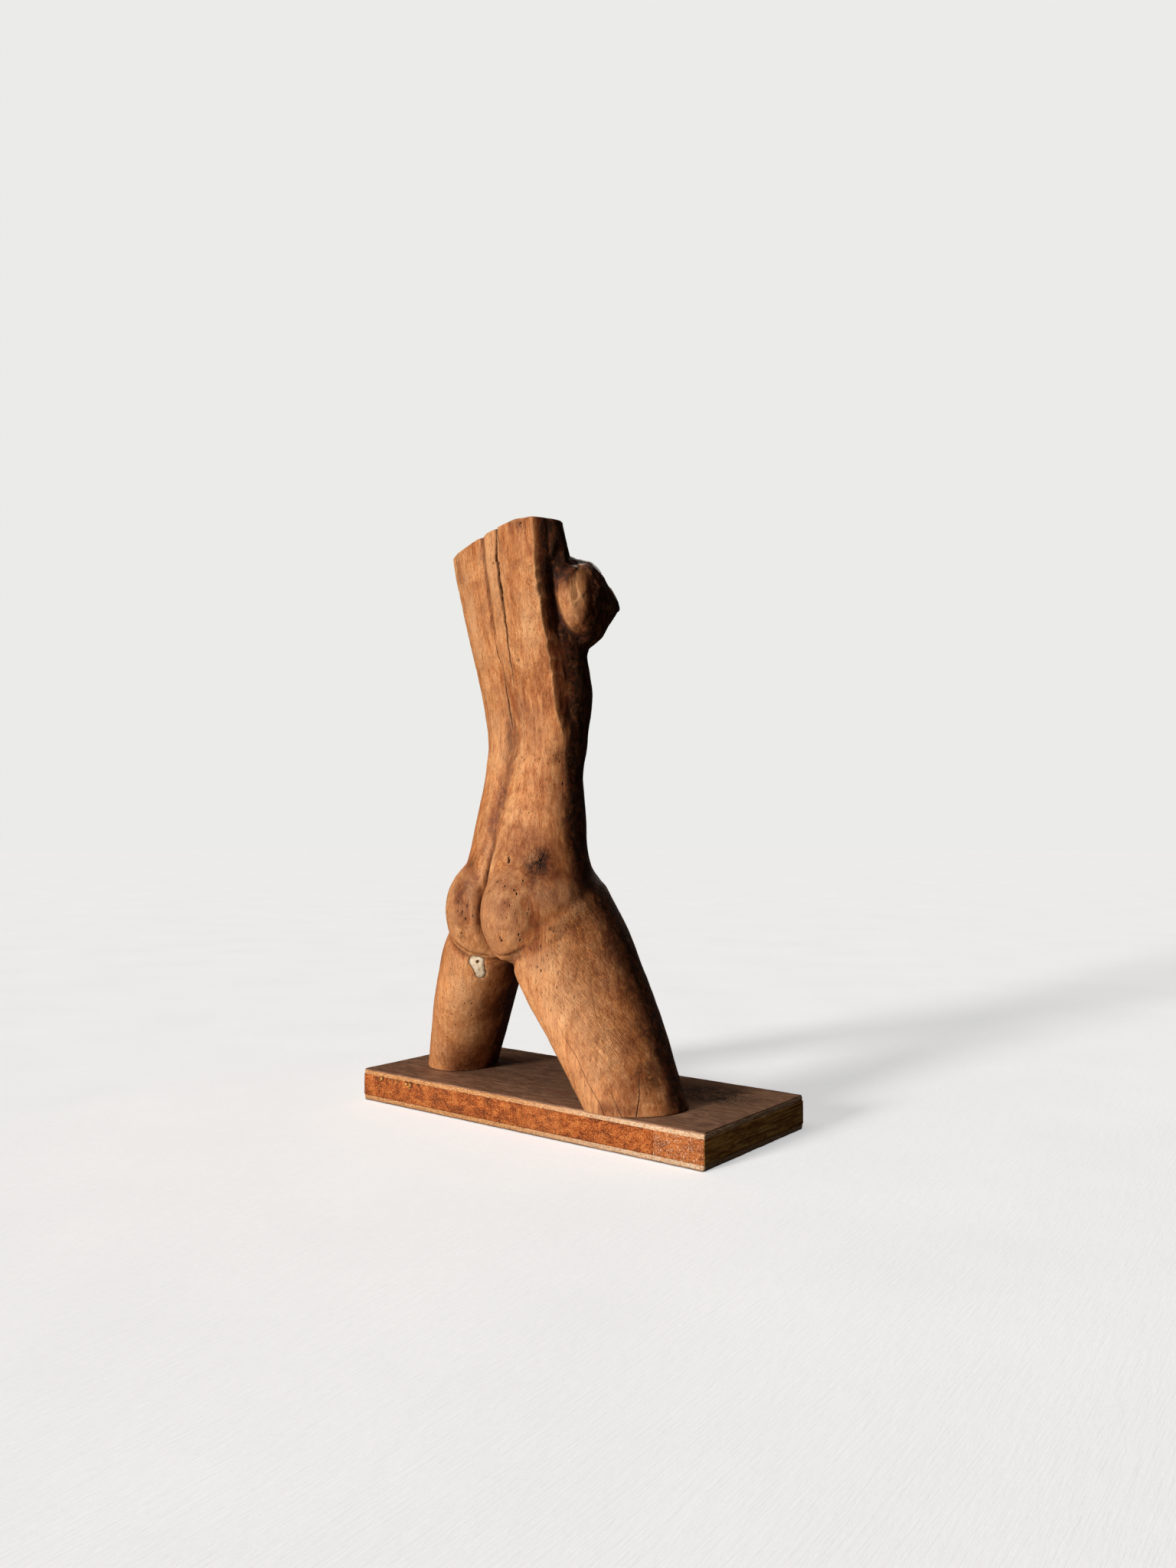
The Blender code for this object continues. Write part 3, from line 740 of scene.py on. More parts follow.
def refine_marks(form, skin, cracks, pits):
    """Splits the faces round the cracks, pits, the filler's rim, the ridge and the right breast."""
    marks = [*cracks]
    for (x, y, z), _, _ in pits:
        marks.append(np.array(((x, y, z, 0), (x, y, z + 0.01, 0))))
    rim = []
    half_width, half_height, middle = FILLER_RIM
    for angle in np.linspace(0, 2 * math.pi, 25):
        edge = Vector((half_width * math.cos(angle), 0, middle + half_height * math.sin(angle)))
        edge = filler_frame() @ edge
        rim.append((*skin.find_nearest(edge)[0], 0))
    marks.append(np.array(rim))
    refine(form, marks, 2.2)
    refine(form, marks, 1.1)
    refine(form, cracks[:3], 0.55)
    refine(form, [np.array(RIDGE_LINE)], RIDGE_REACH)
    refine(form, [np.array(BREAST_AXIS)], BREAST_ROUND)


def mark_shares(mesh, points, carved, cracks, creases, pits):
    """How far each point is dark, dark in a hollow, or worn, from 0 to 1. The dark is painted shade in the
    cracks and pits, and partly dirt, partly painted shade along the creases and in the hollows.
    """
    dark = np.zeros(len(points))
    # Painted shade in the cracks, along the creases (partly dirt) and in the pits
    for path in cracks:
        away, half_width, depth = near_mark(points, path, 5)
        here = unit(1.35 - 0.75 * away / half_width) * unit(depth * 1.4)
        dark = np.maximum(dark, here)
    for number, strength in DARK_CREASES:
        away, half_width, depth = near_mark(points, creases[number], 4)
        here = strength * unit(1.2 - away / half_width) * unit(depth)
        dark = np.maximum(dark, here)
    for middle, radius, _ in pits:
        here = 1.5 * pit_share(points, middle, radius * 1.1)
        dark = np.maximum(dark, np.clip(here, 0, 0.8))
    # Darker in the hollows: partly dirt, partly painted shade
    fine = hollows(mesh, carved, read(mesh, "normal"), 8)
    wide = hollows(mesh, carved, read(mesh, "normal"), 60)
    dirt = unit(fine / 0.22) * 0.7 + unit(wide / 0.9) * 0.5
    return unit(dark), unit(dirt), unit(-fine / 0.16)


def stain_and_painted_light_shares(points, normals):
    """How dark, red, purple and pale each point is, from 0 to 1: stained, with painted shade among the dark
    and red and painted light among the pale.
    """
    x, _, z = points.T
    turn = np.degrees(np.arctan2(-normals[:, 0], normals[:, 1]))
    turn += 9 * rough_noise(points * (1, 1, 0.4), 11, 43)
    start = np.where(z < THIGH_TOP, np.where(x > 0, *THIGH_PATINA_AND_SHADE), np.interp(z, *BODY_PATINA_AND_SHADE))
    # right: darker and redder on the side turned from the key light, partly patina and partly painted
    # shade. left: redder on faces turned to the figure's left, low down
    right = unit((turn - start) / PATINA_AND_SHADE_FADE) * np.clip((175 - turn) / 40, 0.35, 1) * (turn > 0)
    left = unit((-turn - 12) / 40) * np.clip((100 - z) / 30, 0.25, 1) * (turn < 0)
    share = ridge_share(points, normals) * (x < 0)
    beyond = past_ridge(points)
    # Past the ridge the flank is redder, partly patina and partly painted shade, and then painted black as
    # its shadow
    flank = unit(beyond / 3) * share
    flank_shadow = unit((beyond - np.interp(z, *FLANK_SHADOW_START)) / 4) * share
    dark = np.maximum.reduce((spread(points, DARK_STAINS, 31), 0.9 * right**1.5, 0.95 * flank_shadow))
    red = np.maximum.reduce((spread(points, RED_STAINS, 33), 0.95 * right, 0.6 * left, 0.9 * flank))
    return dark, red, spread(points, PURPLE_STAINS, 35), spread(points, PALE_STAINS_AND_PAINTED_LIGHT, 37) * (1 - right)


def build_torso():
    form = bmesh.new()
    form.from_mesh(plain_skin())
    saw_ends(form)
    skin = BVHTree.FromBMesh(form)
    cracks = [laid_on(skin, DRYING_CRACK, sway=0.45)]
    cracks += [laid_on(skin, path) for path in FINE_CRACKS]
    cracks += knot_checks(skin)
    creases = [laid_on(skin, path, sway=0.2) for path in CREASES] + [cleft_path(skin)]
    pits = []
    for *place, radius, depth in PITS:
        pits.append((skin.find_nearest(Vector(place))[0], PIT_SHARE * radius, depth))
    refine_marks(form, skin, cracks, pits)

    mesh = mesh_of(form, "torso_carved")
    points = read(mesh, "co")
    normals = read(mesh, "normal")
    tops = np.array([top_plane(x) for x in points[:, 0]])
    sawn = (np.abs(points[:, 2]) < 0.01) | (np.abs(points[:, 2] - tops) < 0.01)
    normals[sawn, 2] = 0
    normals /= np.linalg.norm(normals, axis=1, keepdims=True) + 1e-9
    carved = points + normals * relief(points, normals, cracks, creases, pits)[:, None]
    set_points(mesh, carved)
    marks = mark_shares(mesh, points, carved, cracks, creases, pits)
    paint(mesh, "stains_and_painted_light", stain_and_painted_light_shares(points, normals))
    paint(mesh, "marks", (*marks, spread(points, RASPED, 39)))
    paint(mesh, "holes", (spread(points, WORMED, 41),) * 4)
    triangulate_caps(mesh)
    mesh.transform(TO_ROW)
    set_points(mesh, np.clip(read(mesh, "co"), np.array(CAD_BOX[0]) + 1e-5, np.array(CAD_BOX[1]) - 1e-5))
    mesh.materials.append(carved_wood())
    mesh.materials.append(sawn_end())
    as_piece("torso_carved", mesh, "torso")
    return skin


def triangulate_caps(mesh):
    form = bmesh.new()
    form.from_mesh(mesh)
    caps = [face for face in form.faces if len(face.verts) > 4]
    bmesh.ops.triangulate(form, faces=caps)
    form.to_mesh(mesh)
    form.free()


def as_piece(name, mesh, node):
    mesh.shade_smooth()
    piece = bpy.data.objects.new(name, mesh)
    bpy.context.scene.collection.objects.link(piece)
    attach(piece, "root")
    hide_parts(node)


def filler_point(skin, ring, spoke):
    """A point of the plug's grid, in the figure's frame, and how dark it is: painted shade in the hole, and
    partly dirt, partly painted shade round the rim.
    """
    place = filler_frame()
    axis = (place.to_3x3() @ Vector((0, 1, 0))).normalized()
    angle = 2 * math.pi * spoke / FILLER_SPOKES
    face_rings = FILLER_RINGS - 2
    out = bean_reach(angle) * min(1.0, ring / face_rings)
    x = FILLER_MIDDLE[0] + out * math.cos(angle)
    z = FILLER_MIDDLE[1] + out * math.sin(angle)
    hit = skin.ray_cast(place @ Vector((x, 12, z)), -axis)[0]
    rim = float(unit(bean_inside(np.array([x]), np.array([z]))[0] / 1.2))
    lift = FILLER_RISE * rim + 0.12 * float(noise_at(np.array([[x, 0, z]]), 1.6, 12)[0])
    hole = math.hypot(x - FILLER_HOLE[0], z - FILLER_HOLE[1]) / FILLER_HOLE[2]
    lift += 0.1 * math.exp(-((hole - 1.35) ** 2) * 6) - FILLER_HOLE_DEPTH * max(0.0, 1 - hole**4)
    lift -= max(0, ring - face_rings) * FILLER_SKIRT
    # The dark share: painted shade in the hole, dirt and painted shade round the rim
    return hit + axis * lift, max(min(1.0, 2.2 - 2 * hole), 0.7 * (1 - rim))


def build_filler(skin):
    """A cream plug that stands a little proud, chipped at its rim, with a small deep hole."""
    form = bmesh.new()
    grid, shade = [], []
    for ring in range(FILLER_RINGS + 1):
        row = []
        for spoke in range(FILLER_SPOKES if ring else 1):
            at, dirt = filler_point(skin, ring, spoke)
            row.append(form.verts.new(at))
            shade.append(dirt)
        grid.append(row)
    for inner, outer in zip(grid, grid[1:]):
        for spoke in range(FILLER_SPOKES):
            following = (spoke + 1) % FILLER_SPOKES
            if len(inner) == 1:
                form.faces.new((inner[0], outer[following], outer[spoke]))
            else:
                form.faces.new((inner[spoke], inner[following], outer[following], outer[spoke]))
    form.faces.new(grid[-1])
    bmesh.ops.recalc_face_normals(form, faces=form.faces)
    mesh = mesh_of(form, "filler_plug")
    paint(mesh, "shade", (unit(shade),) * 4)
    mesh.transform(TO_ROW)
    mesh.materials.append(cream_filler())
    as_piece("filler_plug", mesh, "thigh_filler")


def bean_reach(angle):
    """The distance from the middle of the filler to its outline at an angle."""
    low, high = 0.0, 12.0
    for _ in range(24):
        middle = (low + high) / 2
        x = np.array([FILLER_MIDDLE[0] + middle * math.cos(angle)])
        z = np.array([FILLER_MIDDLE[1] + middle * math.sin(angle)])
        if bean_inside(x, z)[0] > 0:
            low = middle
        else:
            high = middle
    return low


def grid_box(low, high, step):
    """A closed box with its faces split into cells of about that size, in millimetres."""
    counts = [max(1, round((b - a) / s)) for a, b, s in zip(low, high, step)]
    form = bmesh.new()
    known = {}

    def vert(i, j, k):
        key = (i, j, k)
        if key not in known:
            at = [a + (b - a) * n / c for a, b, n, c in zip(low, high, key, counts)]
            known[key] = form.verts.new(at)
        return known[key]

    for axis, (side, other) in enumerate(((1, 2), (0, 2), (0, 1))):
        cells = itertools.product(range(counts[side]), range(counts[other]), (0, counts[axis]))
        for a, b, end in cells:
            ring = []
            for step_a, step_b in ((0, 0), (1, 0), (1, 1), (0, 1)):
                key = [end] * 3
                key[side], key[other] = a + step_a, b + step_b
                ring.append(vert(*key))
            faces_out = (end > 0) == (axis != 1)
            form.faces.new(ring if faces_out else ring[::-1])
    return mesh_of(form, "board")


def build_layer(node, material, slot, step, ragged, tone=LAYER_TONE):
    """One layer or strip of the board, with its sawn sides worn and chipped."""
    board_low, board_high = BOARD
    low, high = (np.array(corner) * 1000 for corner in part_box(node))
    low = np.maximum(low - GLUE_FILL, board_low)
    high = np.minimum(high + GLUE_FILL, board_high)
    mesh = grid_box(low, high, step)
    points = read(mesh, "co")
    rough = ragged * (0.5 + 0.5 * rough_noise(points * (1, 1, 2.2), 2.6, 21))
    rough += 0.5 * ragged * unit(rough_noise(points * (0.35, 0.35, 2), 3, 24, 2))
    rough = np.clip(rough, 0, None)
    rounding = LOWER_EDGE_WEAR * np.exp(-(points[:, 2] - board_low[2]) / EDGE_ROUND)
    rounding += UPPER_EDGE_WEAR * np.exp(-(board_high[2] - points[:, 2]) / EDGE_ROUND)
    corner = np.zeros(len(points))
    chipped = np.zeros(len(points))
    for x, y in itertools.product(*zip(board_low[:2], board_high[:2])):
        reach = CORNER_WEAR[bool(x > 0)]
        near = unit(1 - np.hypot(points[:, 0] - x, points[:, 1] - y) / reach)
        corner = np.maximum(corner, near**1.3 * reach * 0.42)
    for axis, side in itertools.product((1, 0), (-1, 1)):
        on_side = np.abs(points[:, axis] - BOARD[side > 0][axis]) < 1e-3
        inward = rough + rounding + corner
        uneven = 1 + 0.35 * noise_at(points, 1.3, 27)
        for along, up, radius, depth in CHIPS.get((axis, side), ()):
            away = uneven * np.hypot(points[:, 1 - axis] - along, points[:, 2] - up)
            chip = unit(1.6 * (1 - (away / radius) ** 2)) * on_side
            inward += depth * chip
            chipped = np.maximum(chipped, chip)
        points[on_side, axis] -= side * inward[on_side]
    on_top = np.abs(points[:, 2] - board_high[2]) < 1e-3
    dent = 0.05 * rough_noise(points, 14, 28) + 0.03 * noise_at(points, 3, 29)
    points[on_top, 2] -= np.clip(TOP_WEAR + dent, 0, None)[on_top]
    set_points(mesh, points)
    # Painted shade: darker in the chips and where the ragged sides are deepest
    deep = unit(rough / max(ragged, 0.01) - 0.9)
    paint(mesh, "tone", (np.full(len(points), tone), chipped, deep, deep))
    mesh.transform(Matrix.Scale(0.001, 4))
    mesh.materials.append(material)
    as_piece(node + "_worn", mesh, node)


def build_board():
    face, cross, core = face_veneer(), crossband(), end_grain_core()
    for node in ("plinth_face_veneer", "plinth_under_veneer"):
        build_layer(node, face, "dark_face_veneer", *VENEER_MESH)
    for node in ("plinth_upper_crossband", "plinth_lower_crossband"):
        build_layer(node, cross, "pale_crossband", *CROSSBAND_MESH)
    for number, tone in enumerate(CORE_TONES, 1):
        build_layer(f"plinth_core_strip_{number}", core, "core_strips", *CORE_MESH, tone)


class Nodes:
    """A material's nodes and its colour so far. Inputs given as sockets are linked, others are set."""

    def __init__(self, name):
        self.material = bpy.data.materials.new(name)
        self.material.use_nodes = True
        self.tree = self.material.node_tree
        self.shader = self.tree.nodes["Principled BSDF"]
        self.colour = None

    def add(self, kind, inputs, **settings):
        node = self.tree.nodes.new("ShaderNode" + kind)
        for key, value in settings.items():
            setattr(node, key, value)
        for key, value in inputs.items():
            self.plug(node.inputs[key], value)
        return node

    def plug(self, socket, value):
        if isinstance(value, bpy.types.NodeSocket):
            self.tree.links.new(value, socket)
        else:
            socket.default_value = value

    def maths(self, operation, a, b=0.0, clamp=False):
        return self.add("Math", {0: a, 1: b}, operation=operation, use_clamp=clamp).outputs[0]

    def plus(self, a, b):
        return self.maths("ADD", a, b)

    def times(self, product, *factors):
        for factor in factors:
            product = self.maths("MULTIPLY", product, factor)
        return product

    def vector(self, operation, a, b=(0, 0, 0), output="Vector"):
        return self.add("VectorMath", {0: a, 1: b}, operation=operation).outputs[output]

    def noise(self, where, stretch, detail=3, roughness=0.55, distortion=0.0):
        """Noise with so many lumps per millimetre along each axis."""
        place = self.vector("MULTIPLY", where, stretch)
        inputs = {"Vector": place, "Scale": 1.0, "Detail": detail, "Roughness": roughness}
        return self.add("TexNoise", {**inputs, "Distortion": distortion}).outputs[0]

    def ramp(self, value, low, high, start=0.0, end=1.0):
        inputs = {"Value": value, "From Min": low, "From Max": high, "To Min": start, "To Max": end}
        return self.add("MapRange", inputs, clamp=True, interpolation_type="SMOOTHSTEP").outputs[0]

    def mix(self, share, first, second):
        return self.add("Mix", {0: share, 6: first, 7: second}, data_type="RGBA").outputs[2]

    def shades(self, value, *stops):
        """Starts the colour as shades of one value, each a position and a colour."""
        node = self.add("ValToRGB", {0: value})
        ramp = node.color_ramp
        while len(ramp.elements) < len(stops):
            ramp.elements.new(1.0)
        for element, (position, colour) in zip(ramp.elements, stops):
            element.position = position
            element.color = (*colour, 1)
        self.colour = node.outputs[0]

    def stain(self, colour, *shares):
        """Lays a colour over the colour so far, by the product of the shares."""
        self.colour = self.mix(self.times(*shares), self.colour, (*colour, 1))

    def attribute(self, name):
        node = self.add("Attribute", {}, attribute_name=name, attribute_type="GEOMETRY")
        parts = self.add("SeparateColor", {0: node.outputs["Color"]})
        return (*parts.outputs[:3], node.outputs["Alpha"])

    def board_place(self):
        """The place on the board in millimetres."""
        return self.vector("MULTIPLY", self.add("TexCoord", {}).outputs["Object"], (1000, 1000, 1000))

    def figure_place(self):
        """The place on the figure in millimetres, in its own frame."""
        inputs = {
            "Vector": self.add("TexCoord", {}).outputs["Object"],
            "Location": TO_FIGURE.to_translation(),
            "Rotation": (0, 0, -FIGURE_TURN),
            "Scale": (1000, 1000, 1000),
        }
        return self.add("Mapping", inputs, vector_type="POINT").outputs[0]

    def finish(self, roughness, specular, *bumps):
        """Gives the shader its colour, its gloss and a stack of bumps: height, distance in metres."""
        normal = None
        for height, distance in bumps:
            inputs = {"Height": height, "Distance": distance, "Strength": 1.0}
            if normal:
                inputs["Normal"] = normal
            normal = self.add("Bump", inputs).outputs[0]
        self.plug(self.shader.inputs["Normal"], normal)
        self.plug(self.shader.inputs["Base Color"], self.colour)
        self.plug(self.shader.inputs["Roughness"], roughness)
        self.shader.inputs["Specular IOR Level"].default_value = specular
        return self.material


def annual_rings(nodes, where, spacing, sway):
    """Growth rings round a pith that stands up through the log, as shares from 0 to 1."""
    bend = nodes.noise(where, (0.018, 0.018, 0.006), 2, 0.5).node.outputs["Color"]
    bend = nodes.vector("MULTIPLY", bend, (sway, sway, 0))
    moved = nodes.vector("SUBTRACT", nodes.vector("ADD", where, bend), PITH)
    radius = nodes.vector("LENGTH", nodes.vector("MULTIPLY", moved, (1, 1, 0)), output="Value")
    uneven = nodes.noise(where, (0.06, 0.06, 0.008), 1)
    turns = nodes.plus(nodes.times(radius, 1 / spacing), nodes.times(uneven, 1.2))
    return nodes.maths("FRACT", turns)


def carved_wood():
    """Stained, worn wood: grain, stain (partly painted shade and painted light), pores, worm holes with
    painted shade, rasp marks, and dirt with painted shade, in that order.
    """
    nodes = Nodes("carved_wood")
    where = nodes.figure_place()
    dark, red, purple, pale = nodes.attribute("stains_and_painted_light")
    crack, dirt, worn, rasp = nodes.attribute("marks")
    wormed = nodes.attribute("holes")[0]

    rings = annual_rings(nodes, where, 3.4, 22)
    late_wood = nodes.times(nodes.ramp(rings, 0.45, 0.85), nodes.ramp(rings, 1.0, 0.86))
    streaks = nodes.noise(where, (0.5, 0.5, 0.022), 4, 0.6, 0.5)
    fibres = nodes.noise(where, (2.8, 2.8, 0.09), 3, 0.65)
    patches = nodes.noise(where, (0.05, 0.05, 0.022), 3, 0.6)
    cloud = nodes.noise(where, (0.16, 0.16, 0.11), 5, 0.62, 0.6)
    mottle = nodes.noise(where, (0.34, 0.34, 0.26), 4, 0.65, 0.8)
    strokes = nodes.ramp(nodes.noise(where, (1.0, 1.0, 0.13), 3, 0.6), 0.58, 0.68)

    tone = nodes.plus(nodes.times(streaks, 0.42), nodes.times(patches, 0.36))
    nodes.shades(
        nodes.plus(tone, nodes.times(fibres, 0.22)),
        (0.38, (0.24, 0.066, 0.017)),
        (0.455, (0.42, 0.14, 0.042)),
        (0.52, (0.57, 0.23, 0.082)),
        (0.6, (0.7, 0.35, 0.155)),
    )
    nodes.stain((0.24, 0.066, 0.018), late_wood, 0.32)
    nodes.stain((0.33, 0.12, 0.055), nodes.ramp(cloud, 0.5, 0.68, 0, 0.4))
    nodes.stain((0.13, 0.032, 0.01), strokes, nodes.ramp(patches, 0.42, 0.58), 0.75)
    # pale: pale stain, partly painted light
    nodes.stain((0.71, 0.395, 0.2), pale, nodes.ramp(cloud, 0.3, 0.6, 0.35, 0.9))
    # red and dark: stains, with painted shade on the side turned from the key light and on the flank
    nodes.stain((0.16, 0.034, 0.01), red, nodes.ramp(cloud, 0.36, 0.58, 0.65, 1.2))
    nodes.stain((0.17, 0.062, 0.04), purple, nodes.ramp(mottle, 0.4, 0.58, 0.35, 1.1))
    nodes.stain((0.021, 0.0065, 0.0035), dark, nodes.ramp(mottle, 0.4, 0.56, 0.55, 1.15))

    pores = nodes.ramp(nodes.noise(where, (2.3, 2.3, 0.3), 2, 0.5), 0.6, 0.68)
    open_grain = nodes.maths("ADD", nodes.times(nodes.plus(wormed, rasp), 0.4), 0.25, clamp=True)
    nodes.stain((0.13, 0.036, 0.014), pores, open_grain)
    cells = {"Vector": nodes.vector("MULTIPLY", where, (0.42, 0.42, 0.22)), "Scale": 1.0, "Randomness": 1.0}
    from_hole = nodes.add("TexVoronoi", cells).outputs["Distance"]
    size = nodes.ramp(nodes.noise(where, (0.22, 0.22, 0.16), 1), 0.42, 0.62, 0.02, 0.22)
    size = nodes.times(size, nodes.ramp(wormed, 0.1, 0.7))
    holes = nodes.ramp(nodes.maths("SUBTRACT", size, from_hole), -0.03, 0.06)
    holes = nodes.times(holes, nodes.ramp(wormed, 0.1, 0.4))
    # Painted shade in the worm holes, which are only a bump
    nodes.stain((0.05, 0.018, 0.012), holes, 0.9)

    slanted = nodes.add("Mapping", {"Vector": where, "Rotation": (0.15, math.radians(-38), 0)}).outputs[0]
    scratches = nodes.ramp(nodes.noise(slanted, (3.6, 0.5, 0.12), 2, 0.5), 0.44, 0.62)
    scratches = nodes.times(scratches, rasp)
    nodes.stain((0.16, 0.05, 0.018), scratches, 0.4)
    nodes.stain((0.66, 0.36, 0.17), worn, nodes.ramp(dark, 0, 0.3, 0.3, 0.04))
    # Dirt and painted shade in the hollows, then painted shade in the cracks, creases and pits
    nodes.stain((0.06, 0.024, 0.015), dirt, 0.62)
    nodes.stain((0.018, 0.008, 0.006), crack, 0.93)

    roughness = nodes.plus(nodes.ramp(cloud, 0.3, 0.7, 0.46, 0.64), nodes.times(dirt, 0.15))
    bumps = ((fibres, 0.00014), (pores, -0.0002), (holes, -0.0006), (scratches, -0.00024), (cloud, 0.0004))
    return nodes.finish(roughness, 0.12, *bumps)


def sawn_end():
    """End grain on the sawn top and soles: rings, saw marks and dirt."""
    nodes = Nodes("sawn_end_grain")
    where = nodes.figure_place()
    rings = annual_rings(nodes, where, 2.4, 10)
    speckle = nodes.noise(where, (1.6, 1.6, 1.6), 4, 0.7)
    saw = nodes.noise(where, (0.1, 1.5, 1.5), 3, 0.6)
    cloud = nodes.noise(where, (0.06, 0.06, 0.06), 4)
    nodes.shades(cloud, (0.3, (0.11, 0.05, 0.024)), (0.7, (0.24, 0.115, 0.052)))
    nodes.stain((0.08, 0.032, 0.016), nodes.ramp(rings, 0.5, 1.0, 0, 0.5))
    nodes.stain((0.05, 0.02, 0.012), nodes.ramp(speckle, 0.55, 0.75, 0, 0.5))
    return nodes.finish(0.75, 0.25, (saw, 0.0006), (speckle, 0.0003))


def cream_filler():
    """Hard cream filler, gritty, with painted shade in its hole and dirt and painted shade round its rim.
    """
    nodes = Nodes("cream_filler")
    where = nodes.figure_place()
    cloud = nodes.noise(where, (0.45, 0.45, 0.45), 4, 0.6)
    grit = nodes.noise(where, (3, 3, 3))
    nodes.shades(
        cloud,
        (0.34, (0.5, 0.34, 0.2)),
        (0.46, (0.74, 0.6, 0.43)),
        (0.6, (0.84, 0.74, 0.58)),
    )
    nodes.stain((0.4, 0.25, 0.14), nodes.ramp(grit, 0.6, 0.75, 0, 0.4))
    # Painted shade in the hole, and dirt and painted shade round the rim
    nodes.stain((0.06, 0.025, 0.015), nodes.attribute("shade")[0], 0.92)
    return nodes.finish(0.62, 0.5, (grit, 0.0002), (cloud, 0.0003))


def face_veneer():
    """Dark walnut brown, blotched and rubbed, with a burr near the right foot."""
    nodes = Nodes("dark_face_veneer")
    where = nodes.board_place()
    figure = nodes.noise(where, (0.1, 0.28, 0.28), 6, 0.62, 0.8)
    fibres = nodes.noise(where, (0.35, 3.2, 3.2), 3, 0.6)
    blotch = nodes.noise(where, (0.035, 0.06, 0.06), 4, 0.65)
    nodes.shades(
        figure,
        (0.36, (0.17, 0.086, 0.05)),
        (0.46, (0.23, 0.117, 0.067)),
        (0.54, (0.29, 0.15, 0.087)),
        (0.64, (0.38, 0.2, 0.118)),
    )
    nodes.stain((0.13, 0.062, 0.038), nodes.ramp(fibres, 0.45, 0.7, 0, 0.22))
    nodes.stain((0.2, 0.07, 0.036), nodes.ramp(blotch, 0.52, 0.68, 0, 0.6))
    flat = nodes.vector("MULTIPLY", where, (0.75, 1, 0))
    from_burr = nodes.vector("DISTANCE", flat, (-60, -20, 0), "Value")
    burr = nodes.ramp(nodes.noise(where, (0.3, 0.3, 0.3), 4, 0.7, 1.8), 0.46, 0.52)
    burr = nodes.times(burr, nodes.ramp(from_burr, 32, 10))
    nodes.stain((0.018, 0.01, 0.008), burr, 0.85)
    scuffs = nodes.ramp(nodes.noise(where, (0.5, 1.6, 1), 4, 0.7), 0.58, 0.7)
    scuffed = nodes.ramp(nodes.noise(where, (0.04, 0.04, 0.04), 2), 0.5, 0.62)
    nodes.stain((0.42, 0.28, 0.19), scuffs, scuffed, 0.4)
    roughness = nodes.ramp(blotch, 0.35, 0.65, 0.42, 0.62)
    return nodes.finish(roughness, 0.35, (fibres, 0.00016), (burr, -0.0003), (figure, 0.0004))


def crossband():
    """The pale wood between veneer and core: torn fibres along the edge, bleached at one end."""
    nodes = Nodes("pale_crossband")
    where = nodes.board_place()
    deep = nodes.attribute("tone")[2]
    fibres = nodes.noise(where, (0.5, 0.5, 3.2), 5, 0.7, 0.4)
    bits = nodes.noise(where, (1.1, 1.1, 1.6), 3, 0.65)
    along = nodes.add("SeparateXYZ", {0: where}).outputs[0]
    nodes.shades(
        fibres,
        (0.36, (0.28, 0.08, 0.02)),
        (0.45, (0.5, 0.2, 0.065)),
        (0.54, (0.68, 0.34, 0.14)),
        (0.64, (0.84, 0.54, 0.3)),
    )
    nodes.stain((0.84, 0.66, 0.48), nodes.ramp(along, 20, -100), nodes.ramp(bits, 0.4, 0.56, 0.05, 0.85))
    nodes.stain((0.16, 0.045, 0.015), nodes.ramp(bits, 0.58, 0.66, 0, 0.8))
    # Painted shade where the ragged side is deepest
    nodes.stain((0.2, 0.06, 0.02), deep, 0.6)
    return nodes.finish(0.8, 0.2, (fibres, 0.0005), (bits, -0.0004))


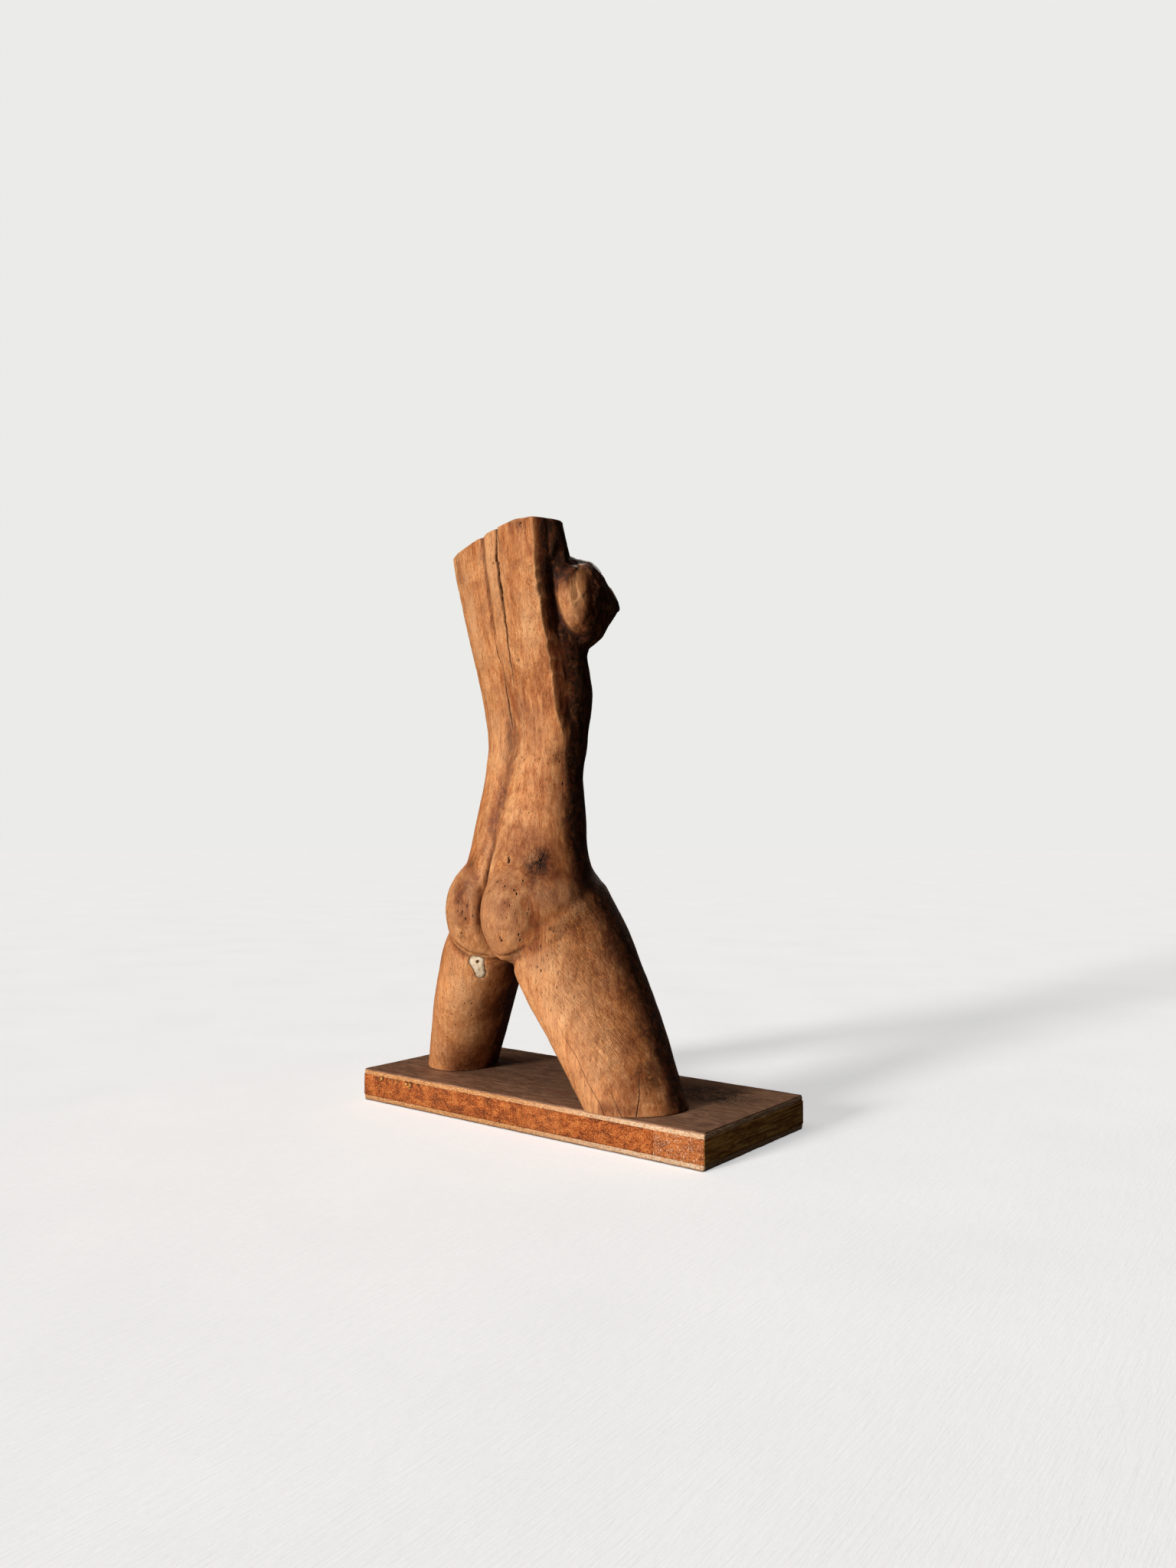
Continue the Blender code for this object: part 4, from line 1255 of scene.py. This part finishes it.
def end_grain_core():
    """The core's strips: speckled end grain on the long edges, long grain at the ends."""
    nodes = Nodes("core_strips")
    where = nodes.board_place()
    tone, chipped, deep, _ = nodes.attribute("tone")
    speckle = nodes.noise(where, (1.3, 1.3, 1.3), 4, 0.7)
    grit = nodes.noise(where, (0.8, 0.8, 1.0), 4, 0.7)
    blotch = nodes.noise(where, (0.14, 0.1, 0.24), 5, 0.65, 0.5)
    flecks = nodes.ramp(nodes.noise(where, (1.6, 1, 1.0), 4, 0.7), 0.57, 0.62)
    nodes.shades(
        nodes.noise(where, (1, 0.05, 1.1), 4, 0.65, 0.4),
        (0.36, (0.22, 0.075, 0.014)),
        (0.46, (0.55, 0.25, 0.055)),
        (0.55, (0.8, 0.42, 0.11)),
        (0.66, (0.92, 0.6, 0.2)),
    )
    nodes.stain((0.17, 0.05, 0.022), nodes.ramp(nodes.noise(where, (0.3, 0.09, 0.4)), 0.5, 0.62, 0, 0.6))
    long_grain = nodes.colour

    nodes.shades(
        blotch,
        (0.38, (0.15, 0.026, 0.005)),
        (0.46, (0.29, 0.057, 0.01)),
        (0.53, (0.43, 0.1, 0.019)),
        (0.62, (0.56, 0.17, 0.04)),
    )
    nodes.stain((0.76, 0.29, 0.085), nodes.ramp(speckle, 0.52, 0.6, 0, 0.6))
    nodes.stain((0.16, 0.03, 0.006), nodes.ramp(speckle, 0.48, 0.4, 0, 0.7))
    nodes.stain((0.05, 0.011, 0.005), nodes.ramp(grit, 0.55, 0.61, 0, 0.9))
    nodes.stain((0.62, 0.23, 0.075), nodes.ramp(tone, 0.3, 0.62, 0, 0.15))
    nodes.stain((0.8, 0.6, 0.42), flecks, nodes.ramp(tone, 0.66, 0.74), 0.65)
    # Painted shade where the ragged side is deepest and in the chips
    nodes.stain((0.11, 0.026, 0.01), deep, 0.5)
    nodes.stain((0.05, 0.014, 0.008), chipped, 0.8)

    facing = nodes.add("SeparateXYZ", {0: nodes.add("NewGeometry", {}).outputs["True Normal"]})
    is_end = nodes.ramp(nodes.maths("ABSOLUTE", facing.outputs[0]), 0.6, 0.8)
    nodes.colour = nodes.mix(is_end, nodes.colour, long_grain)
    return nodes.finish(0.82, 0.2, (speckle, 0.0004), (grit, -0.0006))


def pale_floor():
    nodes = Nodes("pale_floor")
    where = nodes.board_place()
    brushed = nodes.noise(where, (0.9, 0.05, 1), 4, 0.65)
    cloud = nodes.noise(where, (0.01, 0.01, 0.01))
    nodes.shades(cloud, (0.3, (0.76, 0.76, 0.76)), (0.7, (0.82, 0.82, 0.81)))
    nodes.shader.inputs["Emission Color"].default_value = FLOOR_GLOW_COLOUR
    nodes.shader.inputs["Emission Strength"].default_value = FLOOR_GLOW
    return nodes.finish(0.8, 0.0, (brushed, 0.0004))


def build_stage():
    """A plain pale floor, just below the board."""
    form = bmesh.new()
    bmesh.ops.create_circle(form, cap_ends=True, segments=96, radius=FLOOR_REACH)
    mesh = mesh_of(form, "floor")
    mesh.materials.append(pale_floor())
    floor = bpy.data.objects.new("floor", mesh)
    floor.location.z = -FLOOR_DROP
    floor.visible_diffuse = False
    floor.visible_glossy = False
    bpy.context.scene.collection.objects.link(floor)


def add_lamp(name, kind, power, colour):
    lamp = bpy.data.lights.new(name, kind)
    lamp.energy = power
    lamp.color = colour
    holder = bpy.data.objects.new(name, lamp)
    bpy.context.scene.collection.objects.link(holder)
    return holder


def add_sun(name):
    turn, rise, softness, power, colour = SUNS[name]
    turn, rise = math.radians(turn), math.radians(rise)
    look = Vector((*CAMERA_LOOK, 0)).normalized()
    left = Vector((-look.y, look.x, 0))
    towards = (left * math.sin(turn) - look * math.cos(turn)) * math.cos(rise)
    towards.z = math.sin(rise)
    sun = add_lamp(name, "SUN", power, colour)
    sun.data.angle = math.radians(softness)
    sun.rotation_euler = towards.to_track_quat("Z", "Y").to_euler()
    return sun


def build_light():
    """A low key light and a weak high one, the floor's bounce, and a light on the far side."""
    add_sun("key")
    add_sun("sky")
    bounce = add_lamp("bounce", "AREA", BOUNCE_POWER, BOUNCE_COLOUR)
    bounce.data.shape = "RECTANGLE"
    bounce.data.size, bounce.data.size_y = BOUNCE_SIZE
    bounce.location = BOUNCE_AT
    bounce.rotation_euler.x = math.pi
    bounce.visible_camera = False
    lit = bpy.data.collections.new("lit_from_the_front")
    for piece in bpy.context.scene.objects:
        if piece.type == "MESH" and piece.name not in NOT_LIT_FROM_THE_FRONT:
            lit.objects.link(piece)
    add_sun("front").light_linking.receiver_collection = lit

    world = bpy.data.worlds.new("surround")
    world.use_nodes = True
    tree = world.node_tree
    fill = tree.nodes["Background"]
    fill.inputs["Color"].default_value = FILL_COLOUR
    fill.inputs["Strength"].default_value = FILL_LIGHT
    seen = tree.nodes.new("ShaderNodeBackground")
    seen.inputs["Color"].default_value = BACKDROP_LIGHT
    path = tree.nodes.new("ShaderNodeLightPath")
    mix = tree.nodes.new("ShaderNodeMixShader")
    tree.links.new(path.outputs["Is Camera Ray"], mix.inputs[0])
    tree.links.new(fill.outputs[0], mix.inputs[1])
    tree.links.new(seen.outputs[0], mix.inputs[2])
    tree.links.new(mix.outputs[0], tree.nodes["World Output"].inputs["Surface"])
    bpy.context.scene.world = world


def build_camera():
    lens = bpy.data.cameras.new("camera")
    lens.sensor_fit = "VERTICAL"
    lens.sensor_height = SENSOR
    lens.lens = FOCAL_SHARE * SENSOR
    lens.clip_start = 0.01
    camera = bpy.data.objects.new("camera", lens)
    look = Vector((*CAMERA_LOOK, 0)).normalized() * math.cos(CAMERA_TILT)
    look.z = math.sin(CAMERA_TILT)
    turn = look.to_track_quat("-Z", "Y").to_matrix().to_4x4()
    camera.matrix_world = Matrix.Translation(CAMERA_AT) @ turn
    bpy.context.scene.collection.objects.link(camera)
    bpy.context.scene.camera = camera


plain_torso = build_torso()
build_filler(plain_torso)
build_board()
build_stage()
build_light()
build_camera()
bpy.context.scene.view_settings.view_transform = "Standard"
